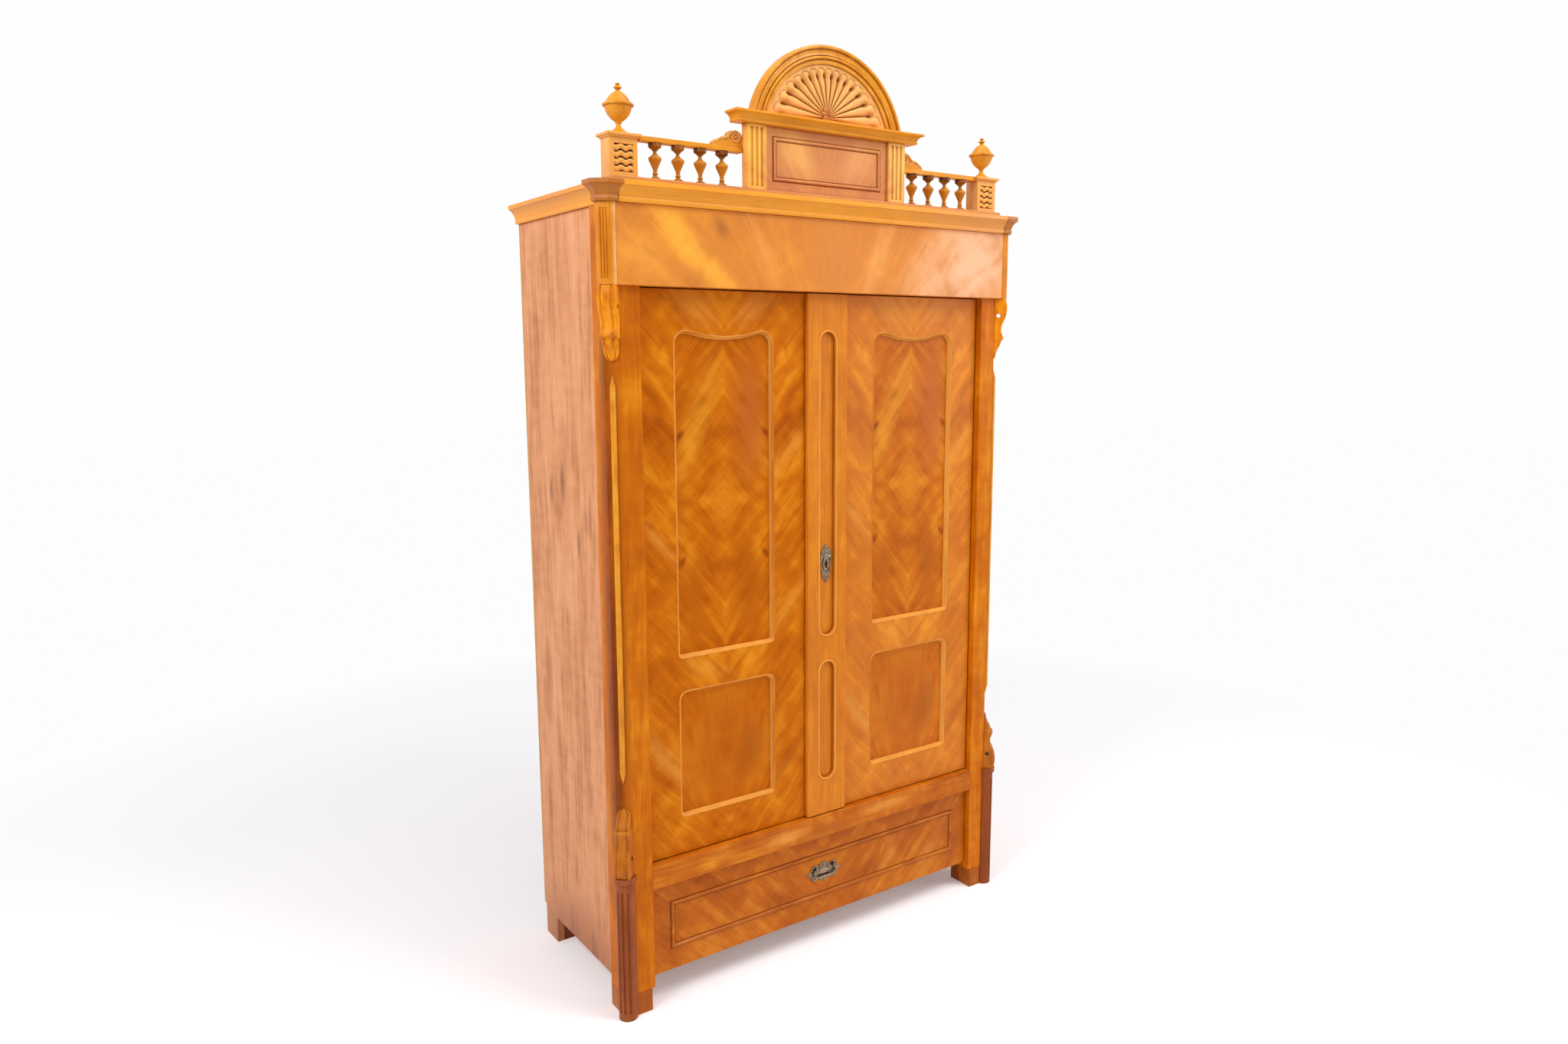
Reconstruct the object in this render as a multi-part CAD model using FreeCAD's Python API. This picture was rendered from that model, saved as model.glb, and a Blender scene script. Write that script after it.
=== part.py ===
"""Two-door wardrobe with a drawer, canted corners, a turned gallery and a scallop pediment.

Millimetres. The front faces -Y, +Z is up, and the origin is on the floor in the middle of the whole outline.
Depths are measured back from the front face of the stiles. Right-hand pieces are drawn and the left-hand
ones mirrored.
"""
import FreeCAD
import Part
import math
import os
from FreeCAD import Vector

# Carcass
opening_width = 1100.0
stile_width = 54.0
cant = 28.0
post_depth = 84.0
post_step = 8.0
side_thickness = 20.0
back_thickness = 14.0
carcass_depth = 533.0
carcass_height = 1990.0
back_clear_height = 86.0
back_board_count = 7
back_board_bevel = 3.0

# Feet
foot_height = 60.0
foot_inset = 8.0
side_cutout_height = 73.0
rear_foot_depth = 76.0
rear_foot_width = 33.0

# Rails and boards across the front
drawer_clear_height = 77.0
drawer_opening_height = 245.0
rail_height = 63.0
frieze_height = 182.0
frieze_proud = 16.0
head_rail_height = 60.0
head_rail_lip = 18.0
board_thickness = 20.0
door_stop_height = 10.0
stop_gap = 1.4
hat_space_height = 492.0
shelf_thickness = 18.0
shelf_setback = 90.0
batten_height = 30.0
batten_width = 20.0
rod_radius = 12.5
rod_drop = 70.0
rod_setback = 300.0
socket_width = 50.0
socket_height = 60.0
socket_length = 15.0
socket_floor = 5.0
sliding_fit = 0.05

# Half-octagon posts beside the frieze, and their capitals
octagon_face = 23.0
octagon_leg = 12.0
octagon_reach = 33.0
flute_radius = 2.3
flute_spacing = 7.0
flute_margin = 14.0

# Cornice moulding: a lower fillet, a cove and a fascia
cornice_height = 46.0
cornice_reach = 26.0
cornice_fillet = 9.0
cornice_groove = 4.0
cornice_board = 78.0
cornice_root = 4.0
cornice_tuck = 4.0

# Canted corner ornaments
bracket_width = 42.0
bracket_height = 172.0
bracket_reach = 36.0
bracket_hole_radius = 6.0
bracket_hole_seat = 11.0
bracket_hole_drop = 48.0
bead_radius = 7.5
bead_foot_gap = 64.0
bead_head_gap = 32.0
bead_point = 26.0
bead_tip_radius = 0.6
column_radius = 23.5
column_stilt = 7.0
column_drop = 5.0
column_cap_height = 14.0
column_cap_reach = 5.0
column_flute_radius = 3.0
column_flute_angle = 34.0
column_flute_margin = 22.0

# Doors
door_setback = 19.0
door_thickness = 22.0
door_side_gap = 2.5
door_foot_gap = 3.0
meeting_gap = 2.0
strip_width = 130.0
strip_proud = 14.0
strip_arris = 2.5
edge_round = 4.0
inner_stile_width = 98.0
outer_stile_width = 92.5
door_rail_width = 94.0
door_middle_rail_width = 82.0
lower_panel_height = 335.0
panel_top_radius = 36.0
panel_dip = 15.0
panel_foot_radius = 14.0
lower_panel_radius = 26.0
panel_setback = 11.0
panel_thickness = 8.0
moulding_width = 10.0
moulding_proud = 1.6
slot_width = 50.0
slot_depth = 9.0
slot_foot_margin = 102.0
slot_head_margin = 97.0
slot_gap = 76.0
lower_slot_height = 332.0

# Pivot hinges
pivot_inset = 6.0
pivot_radius = 3.0
pivot_length = 12.0
pivot_well = 1.5
hinge_plate_length = 46.0
hinge_plate_width = 9.0
hinge_plate_thickness = 2.0
pivot_collar_radius = 4.4
collar_flat_count = 8
collar_gap = 0.3

# Lock, strike and the bolts of the left door
lock_rise = 195.0
lock_case_width = 88.0
lock_case_height = 90.0
lock_case_depth = 14.0
lock_bolt_height = 20.0
lock_bolt_thickness = 6.0
lock_bolt_length = 56.0
lock_bolt_setback = 0.6
lock_travel = 9.0
lock_clearance = 0.3
strike_height = 52.0
strike_width = 14.0
strike_thickness = 2.0
strike_pocket_slack = 4.0
keyhole_radius = 4.0
keyhole_slot_width = 4.0
keyhole_slot_height = 13.0
keyhole_depth_in_case = 4.0
escutcheon_height = 106.0
escutcheon_width = 44.0
escutcheon_thickness = 2.5
escutcheon_boss = 1.5
bolt_width = 10.0
bolt_thickness = 6.0
bolt_length = 120.0
bolt_setback = 1.0
bolt_travel = 12.0
bolt_inset = 20.0
bolt_knob_width = 6.0
bolt_knob_reach = 5.0
bolt_knob_height = 20.0
bolt_clearance = 0.3
keeper_clearance = 0.6
keeper_depth = 14.0

# Drawer
drawer_gap = 2.0
drawer_side_thickness = 12.0
drawer_side_clearance = 3.0
drawer_rear_gap = 18.0
drawer_side_drop = 20.0
drawer_back_drop = 10.0
drawer_bottom_thickness = 6.0
drawer_bottom_lift = 8.0
runner_height = 20.0
runner_rise = 15.0
runner_width = 28.0
runner_clearance = 0.3
guide_rise = 18.0
drawer_moulding_foot = 59.0
drawer_moulding_head = 55.0
drawer_moulding_inset = 57.0
drawer_moulding_width = 10.0
drawer_moulding_proud = 5.0

# Drawer pull
pull_lift = 7.5
pull_width = 112.0
pull_plate_height = 58.0
pull_plate_thickness = 2.5
pull_post_spacing = 62.0
pull_post_width = 6.0
pull_post_height = 11.0
pull_post_reach = 13.0
pull_pivot_reach = 8.5
pull_pivot_rise = 12.0
bail_radius = 2.6
bail_pin_radius = 1.8
bail_drop = 24.0
bail_corner = 8.0
bail_flat_count = 8
bail_gap = 0.4

# Gallery on the cornice
gallery_base_height = 14.0
gallery_base_inset = 12.0
gallery_base_front = -4.0
gallery_base_back = 62.0
gallery_post_inset = 3.0
gallery_post_width = 70.0
gallery_post_depth = 46.0
gallery_post_height = 84.0
gallery_cap_height = 12.0
gallery_cap_reach = 8.0
carved_panel_inset = 11.0
carved_panel_sink = 3.0
carved_row_count = 4
carved_wave_count = 3
gallery_rail_front = 20.0
gallery_rail_depth = 24.0
baluster_setback = 32.0
baluster_radius = 15.5
baluster_end_gap = 53.0
baluster_count = 4
baluster_flat_count = 8
finial_height = 112.0
finial_radius = 36.0
finial_flat_count = 12
volute_length = 84.0
volute_height = 36.0
volute_depth = 18.0

# Pediment
block_half_width = 251.0
block_depth = 24.0
block_height = 152.0
pilaster_width = 57.0
block_panel_sink = 8.0
pilaster_flute_radius = 4.5
pilaster_flute_spacing = 14.0
pilaster_flute_margin = 7.0
block_moulding_inset = 24.0
block_moulding_rise = 25.0
block_moulding_width = 8.0
block_moulding_proud = 4.0
cap_overhang = 20.0
cap_reach = 26.0
cap_height = 26.0
cap_back = 4.0
arch_setback = 8.0
arch_width = 45.0
arch_thickness = 22.0
arch_sink = 57.0
arch_proud = 4.0
arch_flat_count = 24
shell_lobe_count = 15
shell_plate = 8.0
shell_hub_rise = 14.0
shell_hub_radius = 13.0
shell_rim = 9.0
shell_lobe_sink = 6.0
shell_lobe_start = 10.0
shell_lobe_flat_count = 8
shell_hub_proud = 5.0

# Curves are drawn with flats, each turning by no more than the facet angle
facet_angle = 12.0
least_flat_count = 4
groove_flat_count = 8

# Points of the sections, as shares of their own width and depth
door_moulding_shares = ((0.0, 0.0), (0.3, -1.0), (1.0, 1.0), (0.0, 1.0))
bead_moulding_shares = ((0.0, 0.0), (0.0, 0.5), (0.32, 1.0), (0.68, 1.0), (1.0, 0.3), (1.0, 0.0))
bracket_face_shares = ((0.86, 0.0), ((1.0, 0.12), (0.92, 0.27)), ((0.62, 0.42), (0.54, 0.57)),
                       ((0.76, 0.67), (0.48, 0.77)), ((0.3, 0.84), (0.1, 1.0)))
baluster_shares = ((0.0, 0.72), (0.2, 0.3), (0.58, 1.0), (0.78, 0.26), (1.0, 0.84))
finial_shares = ((0.0, 0.52), (0.09, 0.4), (0.2, 0.15), (0.38, 0.72), (0.57, 1.0), (0.62, 0.82), (0.79, 0.5),
                 (0.86, 0.14), (0.93, 0.24), (1.0, 0.06))
volute_shares = ((0.0, 0.0), (1.0, 0.0), (1.0, 0.62), ((0.93, 0.98), (0.74, 1.0)), ((0.55, 0.92), (0.52, 0.66)),
                 ((0.44, 0.46), (0.3, 0.48)), ((0.14, 0.40), (0.0, 0.12)))
escutcheon_half_shares = ((0.0, -1.0), (0.22, -0.84), (0.5, -0.76), (0.78, -0.5), (0.66, -0.14), (0.7, 0.04),
                          (0.92, 0.3), (0.78, 0.6), (0.44, 0.7), (0.3, 0.88), (0.0, 1.0))
shield_half_shares = ((0.0, -1.0), (0.7, -0.5), (0.8, 0.4), (0.4, 0.9), (0.0, 1.0))
pull_quarter_shares = ((0.0, 1.0), (0.3, 0.86), (0.5, 0.6), (0.72, 0.78), (0.84, 0.42), (1.0, 0.0))
arch_face_shares = ((0.14, 1.0), (0.3, 0.1), (0.52, 0.1), (0.62, 0.9), (0.76, 0.0), (1.0, -0.4))

# Single shares of a neighbouring size
cornice_lower_share = 0.27
cornice_fascia_share = 0.78
cove_sag_share = 0.38
shield_share = 0.62
carved_row_share = 0.46
carved_swing_share = 0.2
shell_lobe_share = 0.96
shell_tip_share = 0.55
shell_hub_top_share = 0.4
arch_start_share = 0.75

# Derived places
half_opening = opening_width / 2
stile_outer = half_opening + stile_width
post_outer = stile_outer + cant
side_outer = post_outer - post_step
side_inner = side_outer - side_thickness
octagon_half = octagon_face / 2 + octagon_leg
octagon_return = octagon_reach - octagon_leg
root_two = math.sqrt(2.0)
seat_x = stile_outer + cant / 2
front_reach = (octagon_reach + octagon_face / 2) / root_two - cant / 2 + cornice_reach
front_y = (front_reach - carcass_depth) / 2
back_y = front_y + carcass_depth
side_back_y = back_y - back_thickness
seat_y = front_y + cant / 2
across = Vector(1, 1, 0) / root_two
outward = Vector(1, -1, 0) / root_two
up = Vector(0, 0, 1)
cornice_top = carcass_height + cornice_height
frieze_bottom = carcass_height - frieze_height
rail_bottom = drawer_clear_height + drawer_opening_height
rail_top = rail_bottom + rail_height
shelf_top = carcass_height - hat_space_height
runner_top = drawer_clear_height + runner_rise
column_top = rail_top - column_drop - column_cap_height
door_front = front_y + door_setback
door_back = door_front + door_thickness
door_bottom = rail_top + door_foot_gap
door_top = frieze_bottom - door_foot_gap
door_outer = half_opening - door_side_gap
strip_half = strip_width / 2
left_door_inner = -strip_half - meeting_gap
strip_front = door_front - strip_proud
panel_front = door_front + panel_setback
panel_inner = strip_half + inner_stile_width
panel_outer = door_outer - outer_stile_width
lower_panel_bottom = door_bottom + door_rail_width
lower_panel_top = lower_panel_bottom + lower_panel_height
upper_panel_bottom = lower_panel_top + door_middle_rail_width
upper_panel_top = door_top - door_rail_width
lower_slot_bottom = door_bottom + slot_foot_margin
lower_slot_top = lower_slot_bottom + lower_slot_height
upper_slot_bottom = lower_slot_top + slot_gap
upper_slot_top = door_top - slot_head_margin
lock_height = upper_slot_bottom + lock_rise
strike_pocket_depth = lock_travel + strike_pocket_slack
drawer_bottom_edge = drawer_clear_height + drawer_gap
drawer_top_edge = rail_bottom - drawer_gap
drawer_moulding_bottom = drawer_bottom_edge + drawer_moulding_foot
drawer_moulding_top = drawer_top_edge - drawer_moulding_head
pull_height = (drawer_moulding_bottom + drawer_moulding_top) / 2 + pull_lift
gallery_base_half = side_outer - gallery_base_inset
gallery_post_outer = gallery_base_half - gallery_post_inset
gallery_post_inner = gallery_post_outer - gallery_post_width
arch_radius = block_half_width - arch_setback
pivot_x = door_outer - pivot_inset
pivot_y = door_front + pivot_inset
stop_y = door_back + stop_gap
overrun = 5.0


def box(x0, x1, y0, y1, z0, z1):
    """A block between two corners."""
    return Part.makeBox(x1 - x0, y1 - y0, z1 - z0, Vector(x0, y0, z0))


def rod(radius, start, direction, length):
    """A round bar from its start along a direction."""
    return Part.makeCylinder(radius, length, start, direction)


def mirrored(shape):
    """The left-hand copy of a right-hand piece."""
    return shape.mirror(Vector(0, 0, 0), Vector(1, 0, 0))


def along_arc(start, middle, end):
    """Points along an arc after its start, as far apart as the facet angle allows."""
    arc = Part.Arc(start, middle, end)
    turn = math.degrees(arc.LastParameter - arc.FirstParameter)
    count = max(least_flat_count, math.ceil(turn / facet_angle))
    return arc.toShape().discretize(Number=count + 1)[1:-1] + [end]


def wire_through(place, marks):
    """A closed wire through marks: a mark of two numbers is a corner, and a mark of two points is an arc."""
    corners = [place(*marks[0])]
    for mark in marks[1:]:
        if isinstance(mark[0], tuple):
            corners += along_arc(corners[-1], place(*mark[0]), place(*mark[1]))
        else:
            corners.append(place(*mark))
    if corners[-1].distanceToPoint(corners[0]) < sliding_fit:
        corners.pop()
    return Part.makePolygon(corners + corners[:1])


def plate(wire, direction):
    """A flat closed wire given thickness along a vector."""
    return Part.Face(wire).extrude(direction)


def plan_prism(points, z0, z1):
    """An upright prism over a plan polygon of x, y points."""
    wire = Part.makePolygon([Vector(x, y, z0) for x, y in points + points[:1]])
    return plate(wire, up * (z1 - z0))


def side_prism(points, x0, x1):
    """A prism along X over a polygon of y, z points."""
    wire = Part.makePolygon([Vector(x0, y, z) for y, z in points + points[:1]])
    return plate(wire, Vector(x1 - x0, 0, 0))


def on_cant(t, n, z):
    """A point of the right front corner: t along the cant towards the back, n out of it."""
    return Vector(seat_x, seat_y, z) + across * t + outward * n


def fused(shapes):
    """One solid from pieces that touch or cross."""
    whole = shapes[0].fuse(shapes[1:])
    return whole.removeSplitter()


def group(shapes):
    """Separate solids in one node."""
    return Part.makeCompound(shapes)


def swept(path, section):
    """A section swept along a path, mitred at its corners."""
    return path.makePipeShell([section], True, False, 1)


def skinned(rings):
    """A solid between outlines of equally many corners, with a flat face on every side."""
    closed = [ring + ring[:1] for ring in rings]
    faces = [Part.Face(Part.makePolygon(closed[0])), Part.Face(Part.makePolygon(closed[-1]))]
    for low, high in zip(closed, closed[1:]):
        for a, b, c, d in zip(low, low[1:], high[1:], high):
            faces.append(Part.Face(Part.makePolygon([a, b, c, d, a])))
    shell = Part.Shell(faces)
    shell.sewShape()
    return Part.Solid(shell)


def flat_sided(stations, axis, flats):
    """A turned form drawn with flats between regular polygons, each given as its centre and radius."""
    aside = Vector(1, 0, 0) if abs(axis.y) > abs(axis.z) else Vector(0, 1, 0)
    first = axis.cross(aside).normalize()
    second = axis.cross(first).normalize()
    turns = [math.radians((number + 0.5) * 360 / flats) for number in range(flats)]
    return skinned([[centre + (first * math.cos(turn) + second * math.sin(turn)) * radius for turn in turns]
                    for centre, radius in stations])


def groove_cutter(radius, start, direction, reach):
    """The tool that leaves a flute, or drills a small hole in carved work."""
    return flat_sided([(start, radius), (start + direction * reach, radius)], direction, groove_flat_count)


# Corner posts, feet and panels of the carcass

def post_plan(inner):
    """The canted plan of a corner post, from its inner face outwards."""
    return [(inner, front_y), (stile_outer, front_y), (post_outer, front_y + cant),
            (post_outer, front_y + post_depth), (inner, front_y + post_depth)]


def corner_post():
    return plan_prism(post_plan(half_opening), foot_height, carcass_height)


def front_foot():
    return plan_prism(post_plan(half_opening + foot_inset), 0, foot_height)


def rear_foot():
    return box(side_inner - rear_foot_width, side_inner, side_back_y - rear_foot_depth, side_back_y,
               0, runner_top - runner_height)


def side_panel():
    """A solid side whose lower edge is cut away between the front post and the rear foot."""
    front = front_y + post_depth
    foot = side_back_y - rear_foot_depth
    outline = [(front, side_cutout_height), (foot, side_cutout_height), (foot, 0), (side_back_y, 0),
               (side_back_y, carcass_height), (front, carcass_height)]
    return side_prism(outline, side_inner, side_outer)


def back_boards():
    """Upright boards, each bevelled along its long outer edges."""
    width = 2 * side_outer / back_board_count
    boards = []
    for number in range(back_board_count):
        left = -side_outer + number * width
        right = left + width
        plan = [(left, side_back_y), (right, side_back_y), (right, back_y - back_board_bevel),
                (right - back_board_bevel, back_y), (left + back_board_bevel, back_y),
                (left, back_y - back_board_bevel)]
        boards.append(plan_prism(plan, back_clear_height, carcass_height))
    return group(boards)


def board_plan(front, clearance=0):
    """A board between the sides, notched round the front posts."""
    inner, outer = half_opening - clearance, side_inner - clearance
    notch = front_y + post_depth + clearance
    return [(-inner, front), (inner, front), (inner, notch), (outer, notch), (outer, side_back_y),
            (-outer, side_back_y), (-outer, notch), (-inner, notch)]


def bottom_board():
    """The floor of the hanging space, whose front edge stops the doors."""
    top = rail_top + door_stop_height
    return plan_prism(board_plan(stop_y), top - board_thickness, top)


def top_board():
    return plan_prism(board_plan(front_y), carcass_height - board_thickness, carcass_height)


def hat_shelf():
    front = front_y + shelf_setback
    return box(-side_inner, side_inner, front, side_back_y, shelf_top - shelf_thickness, shelf_top)


def shelf_batten():
    top = shelf_top - shelf_thickness
    front = front_y + shelf_setback
    return box(side_inner - batten_width, side_inner, front, side_back_y, top - batten_height, top)


def rod_height():
    return shelf_top - shelf_thickness - rod_drop


def hanging_rail():
    reach = side_inner - socket_floor
    return rod(rod_radius, Vector(-reach, front_y + rod_setback, rod_height()), Vector(1, 0, 0), 2 * reach)


def rail_socket():
    """A block that takes one end of the hanging rail in a blind hole."""
    start = Vector(side_inner - socket_length, front_y + rod_setback, rod_height())
    half, rise = socket_width / 2, socket_height / 2
    block = box(start.x, side_inner, start.y - half, start.y + half, start.z - rise, start.z + rise)
    return block.cut(rod(rod_radius + sliding_fit, start, Vector(1, 0, 0), socket_length - socket_floor))


def keeper(height):
    """A mortise in a rail that a bolt of the left door enters."""
    return bolt_bar(height, height + keeper_depth, keeper_clearance)


def mid_rail():
    """The rail between doors and drawer, with let-in hinge plates and the keeper of the lower bolt."""
    rail = box(-half_opening, half_opening, front_y, stop_y, rail_bottom, rail_top)
    rail = rail.cut(keeper(rail_top - keeper_depth))
    for side in (1, -1):
        rail = rail.cut(hinge_leaf(side, rail_top - hinge_plate_thickness))
    return rail


def head_rail():
    """The rail behind the frieze, whose rear lip stops the doors."""
    back = stop_y + head_rail_lip
    outline = [(front_y, frieze_bottom), (stop_y, frieze_bottom), (stop_y, frieze_bottom - door_stop_height),
               (back, frieze_bottom - door_stop_height), (back, frieze_bottom + head_rail_height),
               (front_y, frieze_bottom + head_rail_height)]
    rail = side_prism(outline, -half_opening, half_opening).cut(keeper(frieze_bottom))
    for side in (1, -1):
        rail = rail.cut(hinge_leaf(side, frieze_bottom))
    return rail


def frieze_half_length():
    """Where the slanting end of the frieze meets the post beside it, at the stile face."""
    return seat_x + cant / 2 - octagon_half * root_two


def frieze_board():
    """The frieze between the half-octagon posts, whose ends slant with them."""
    inner = frieze_half_length()
    outer = inner + frieze_proud
    face = front_y - frieze_proud
    plan = [(-inner, front_y), (-outer, face), (outer, face), (inner, front_y)]
    return plan_prism(plan, frieze_bottom, carcass_height)


# Half-octagon posts, capitals and cornice

def octagon_marks():
    """The half octagon on the cant, as t, n pairs."""
    return [(-octagon_half, 0.0), (-octagon_half, octagon_return), (-octagon_face / 2, octagon_reach),
            (octagon_face / 2, octagon_reach), (octagon_half, octagon_return), (octagon_half, 0.0)]


def octagon_prism(z0, z1):
    corners = [on_cant(t, n, z0) for t, n in octagon_marks()]
    return plate(Part.makePolygon(corners + corners[:1]), up * (z1 - z0))


def fluted_post():
    """The post beside the frieze, with three stopped flutes down its middle face."""
    post = octagon_prism(frieze_bottom, carcass_height)
    bottom = frieze_bottom + flute_margin
    length = carcass_height - flute_margin - bottom
    for step in (-1, 0, 1):
        start = on_cant(step * flute_spacing, octagon_reach, bottom)
        post = post.cut(groove_cutter(flute_radius, start, up, length))
    return post


def cornice_section(start, out, height, reach, fillet):
    """A fillet below, a groove, a cove and a fascia, as one closed wire at the start of a path."""
    def place(across_out, rise):
        return start + out * across_out + up * rise
    lower = height * cornice_lower_share
    cove_top = height * cornice_fascia_share
    marks = ((-cornice_root, 0.0), (fillet - cornice_groove / 2, 0.0),
             ((fillet, lower / 2), (fillet - cornice_groove / 2, lower)), (fillet, lower + cornice_groove),
             ((fillet + (reach - fillet) * cove_sag_share, (lower + cove_top) / 2 + cornice_groove),
              (reach - cornice_groove / 2, cove_top)),
             (reach, cove_top), (reach, height), (-cornice_root, height))
    return wire_through(place, marks)


def capital():
    """The cornice moulding returned round the half-octagon post."""
    corners = [on_cant(t, n, carcass_height) for t, n in octagon_marks()]
    path = Part.makePolygon(corners)
    section = cornice_section(corners[0], -across, cornice_height, cornice_reach, cornice_fillet)
    ring = swept(path, section)
    return fused([ring, octagon_prism(carcass_height, cornice_top)])


def main_cornice():
    """A frame of boards on the carcass, moulded at the front and sides, its corners cut for the capitals."""
    face = front_y - frieze_proud
    corner = octagon_half - cornice_tuck
    marks = [(-side_outer, back_y), (-side_outer, face + corner), (-side_outer + corner, face),
             (side_outer - corner, face), (side_outer, face + corner), (side_outer, back_y)]
    path = Part.makePolygon([Vector(x, y, carcass_height) for x, y in marks])
    section = cornice_section(Vector(-side_outer, back_y, carcass_height), Vector(-1, 0, 0),
                              cornice_height, cornice_reach, cornice_fillet)
    frame = plan_prism(marks, carcass_height, cornice_top)
    well = box(-side_outer + cornice_board, side_outer - cornice_board, face + cornice_board,
               back_y - cornice_board, carcass_height, cornice_top)
    body = fused([swept(path, section), frame]).cut(well)
    head = capital()
    return body.cut(head).cut(mirrored(head))


# Ornaments on the canted corners

def bracket(top):
    """A carved, pierced bracket that hangs from a height and tapers down the cant."""
    def profile(share_out, share_down):
        return on_cant(-bracket_width / 2, share_out * bracket_reach, top - share_down * bracket_height)
    marks = ((0.0, 0.0),) + bracket_face_shares + ((0.0, 1.0),)
    body = plate(wire_through(profile, marks), across * bracket_width)
    half = bracket_width / 2
    tip = top - bracket_height

    def front(t, z):
        return on_cant(t, 0, z)
    outline = ((-half, top), (-half, tip + half), ((0.0, tip), (half, tip + half)), (half, top))
    body = body.common(plate(wire_through(front, outline), outward * bracket_reach))
    start = on_cant(-half - overrun, bracket_hole_seat, top - bracket_hole_drop)
    return body.cut(groove_cutter(bracket_hole_radius, start, across, bracket_width + 2 * overrun))


def turned_over(shape, height):
    """The same ornament upside down about a level."""
    return shape.mirror(Vector(0, 0, height), up)


def column_cap_top():
    return column_top + column_cap_height


def corner_brackets():
    """Four alike: one under each half-octagon post, and one turned over on each column."""
    upper = bracket(frieze_bottom)
    lower = turned_over(upper, (frieze_bottom + column_cap_top()) / 2)
    right = [upper, lower]
    return group(right + [mirrored(piece) for piece in right])


def corner_bead():
    """A half-round bead on the cant, turned to a point at both ends."""
    bottom = column_cap_top() + bracket_height + bead_foot_gap
    top = frieze_bottom - bracket_height - bead_head_gap
    flats = math.ceil(180 / facet_angle)
    turns = [math.pi * number / flats for number in range(flats + 1)]
    rings = []
    for z, radius in ((bottom, bead_tip_radius), (bottom + bead_point, bead_radius),
                      (top - bead_point, bead_radius), (top, bead_tip_radius)):
        rings.append([on_cant(radius * math.cos(turn), radius * math.sin(turn), z) for turn in turns])
    return skinned(rings)


def stilted_round(radius, stilt, z0, z1):
    """A half-round shaft on the cant, set out from it by a stilt."""
    def place(t, n):
        return on_cant(t, n, z0)
    marks = ((-radius, 0.0), (-radius, stilt), ((0.0, stilt + radius), (radius, stilt)), (radius, 0.0))
    return plate(wire_through(place, marks), up * (z1 - z0))


def column_base():
    """The half-round column that stands on the floor, three times fluted, with a moulded cap."""
    shaft = stilted_round(column_radius, column_stilt, 0, column_top)
    for step in (-1, 0, 1):
        angle = math.radians(step * column_flute_angle)
        start = on_cant(column_radius * math.sin(angle), column_stilt + column_radius * math.cos(angle),
                        column_flute_margin)
        shaft = shaft.cut(groove_cutter(column_flute_radius, start, up, column_top - 2 * column_flute_margin))
    cap = stilted_round(column_radius + column_cap_reach, column_stilt, column_top, column_cap_top())
    return fused([shaft, cap])


# Doors

def panel_outline(centre, low, high, dipped):
    """The outline of a door panel: dipped top with round shoulders, or plain with round corners."""
    half = (panel_outer - panel_inner) / 2
    foot = panel_foot_radius
    shoulder = panel_top_radius if dipped else lower_panel_radius

    def place(x, z):
        return Vector(centre + x, panel_front, z)

    def on_arc(x, z, radius, degrees):
        angle = math.radians(degrees)
        return (x + radius * math.cos(angle), z + radius * math.sin(angle))
    inner = half - shoulder
    turn = 90.0
    if dipped:
        turn += math.degrees(2 * math.atan(panel_dip / inner))
    crown = on_arc(inner, high - shoulder, shoulder, turn)
    marks = [(0.0, low), (half - foot, low), (on_arc(half - foot, low + foot, foot, -45), (half, low + foot)),
             (half, high - shoulder), (on_arc(inner, high - shoulder, shoulder, turn / 2), crown)]
    if dipped:
        marks.append(((0.0, high - panel_dip), (-crown[0], crown[1])))
    else:
        marks.append((-crown[0], crown[1]))
    marks += [(on_arc(-inner, high - shoulder, shoulder, 180 - turn / 2), (-half, high - shoulder)),
              (-half, low + foot), (on_arc(foot - half, low + foot, foot, 225), (foot - half, low)), (0.0, low)]
    return wire_through(place, marks)


def panel_places(side):
    """The upper and the lower panel of a door, as centre, bottom, top and whether its top dips."""
    centre = side * (panel_inner + panel_outer) / 2
    return ((centre, upper_panel_bottom, upper_panel_top, True),
            (centre, lower_panel_bottom, lower_panel_top, False))


def panel_slab(place, y0, y1):
    """A slab of one panel's outline between two depths."""
    wire = panel_outline(*place)
    wire.translate(Vector(0, y0 - panel_front, 0))
    return plate(wire, Vector(0, y1 - y0, 0))


def door_panels(side):
    back = panel_front + panel_thickness
    return group([panel_slab(place, panel_front, back) for place in panel_places(side)])


def door_moulding(place):
    """The ogee lip that holds a panel, swept round the opening of the frame."""
    path = panel_outline(*place)
    start = Vector(place[0], panel_front, place[1])

    def section(width_share, depth_share):
        if depth_share < 0:
            return start + up * (width_share * moulding_width) + Vector(
                0, depth_share * moulding_proud - panel_setback, 0)
        return start + up * (width_share * moulding_width) + Vector(0, (depth_share - 1) * panel_setback, 0)
    return swept(path, wire_through(section, door_moulding_shares))


def door_mouldings(side):
    return group([door_moulding(place) for place in panel_places(side)])


def hinge_leaf(side, z0):
    """One flat hinge plate, its outer end just past the pivot."""
    half = hinge_plate_width / 2
    leaf = box(pivot_x - hinge_plate_length, pivot_x + half, pivot_y - half, pivot_y + half,
               z0, z0 + hinge_plate_thickness)
    return leaf if side > 0 else mirrored(leaf)


def pivot_rod(side, radius, z0, z1):
    return rod(radius, Vector(side * pivot_x, pivot_y, z0), up, z1 - z0)


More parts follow.
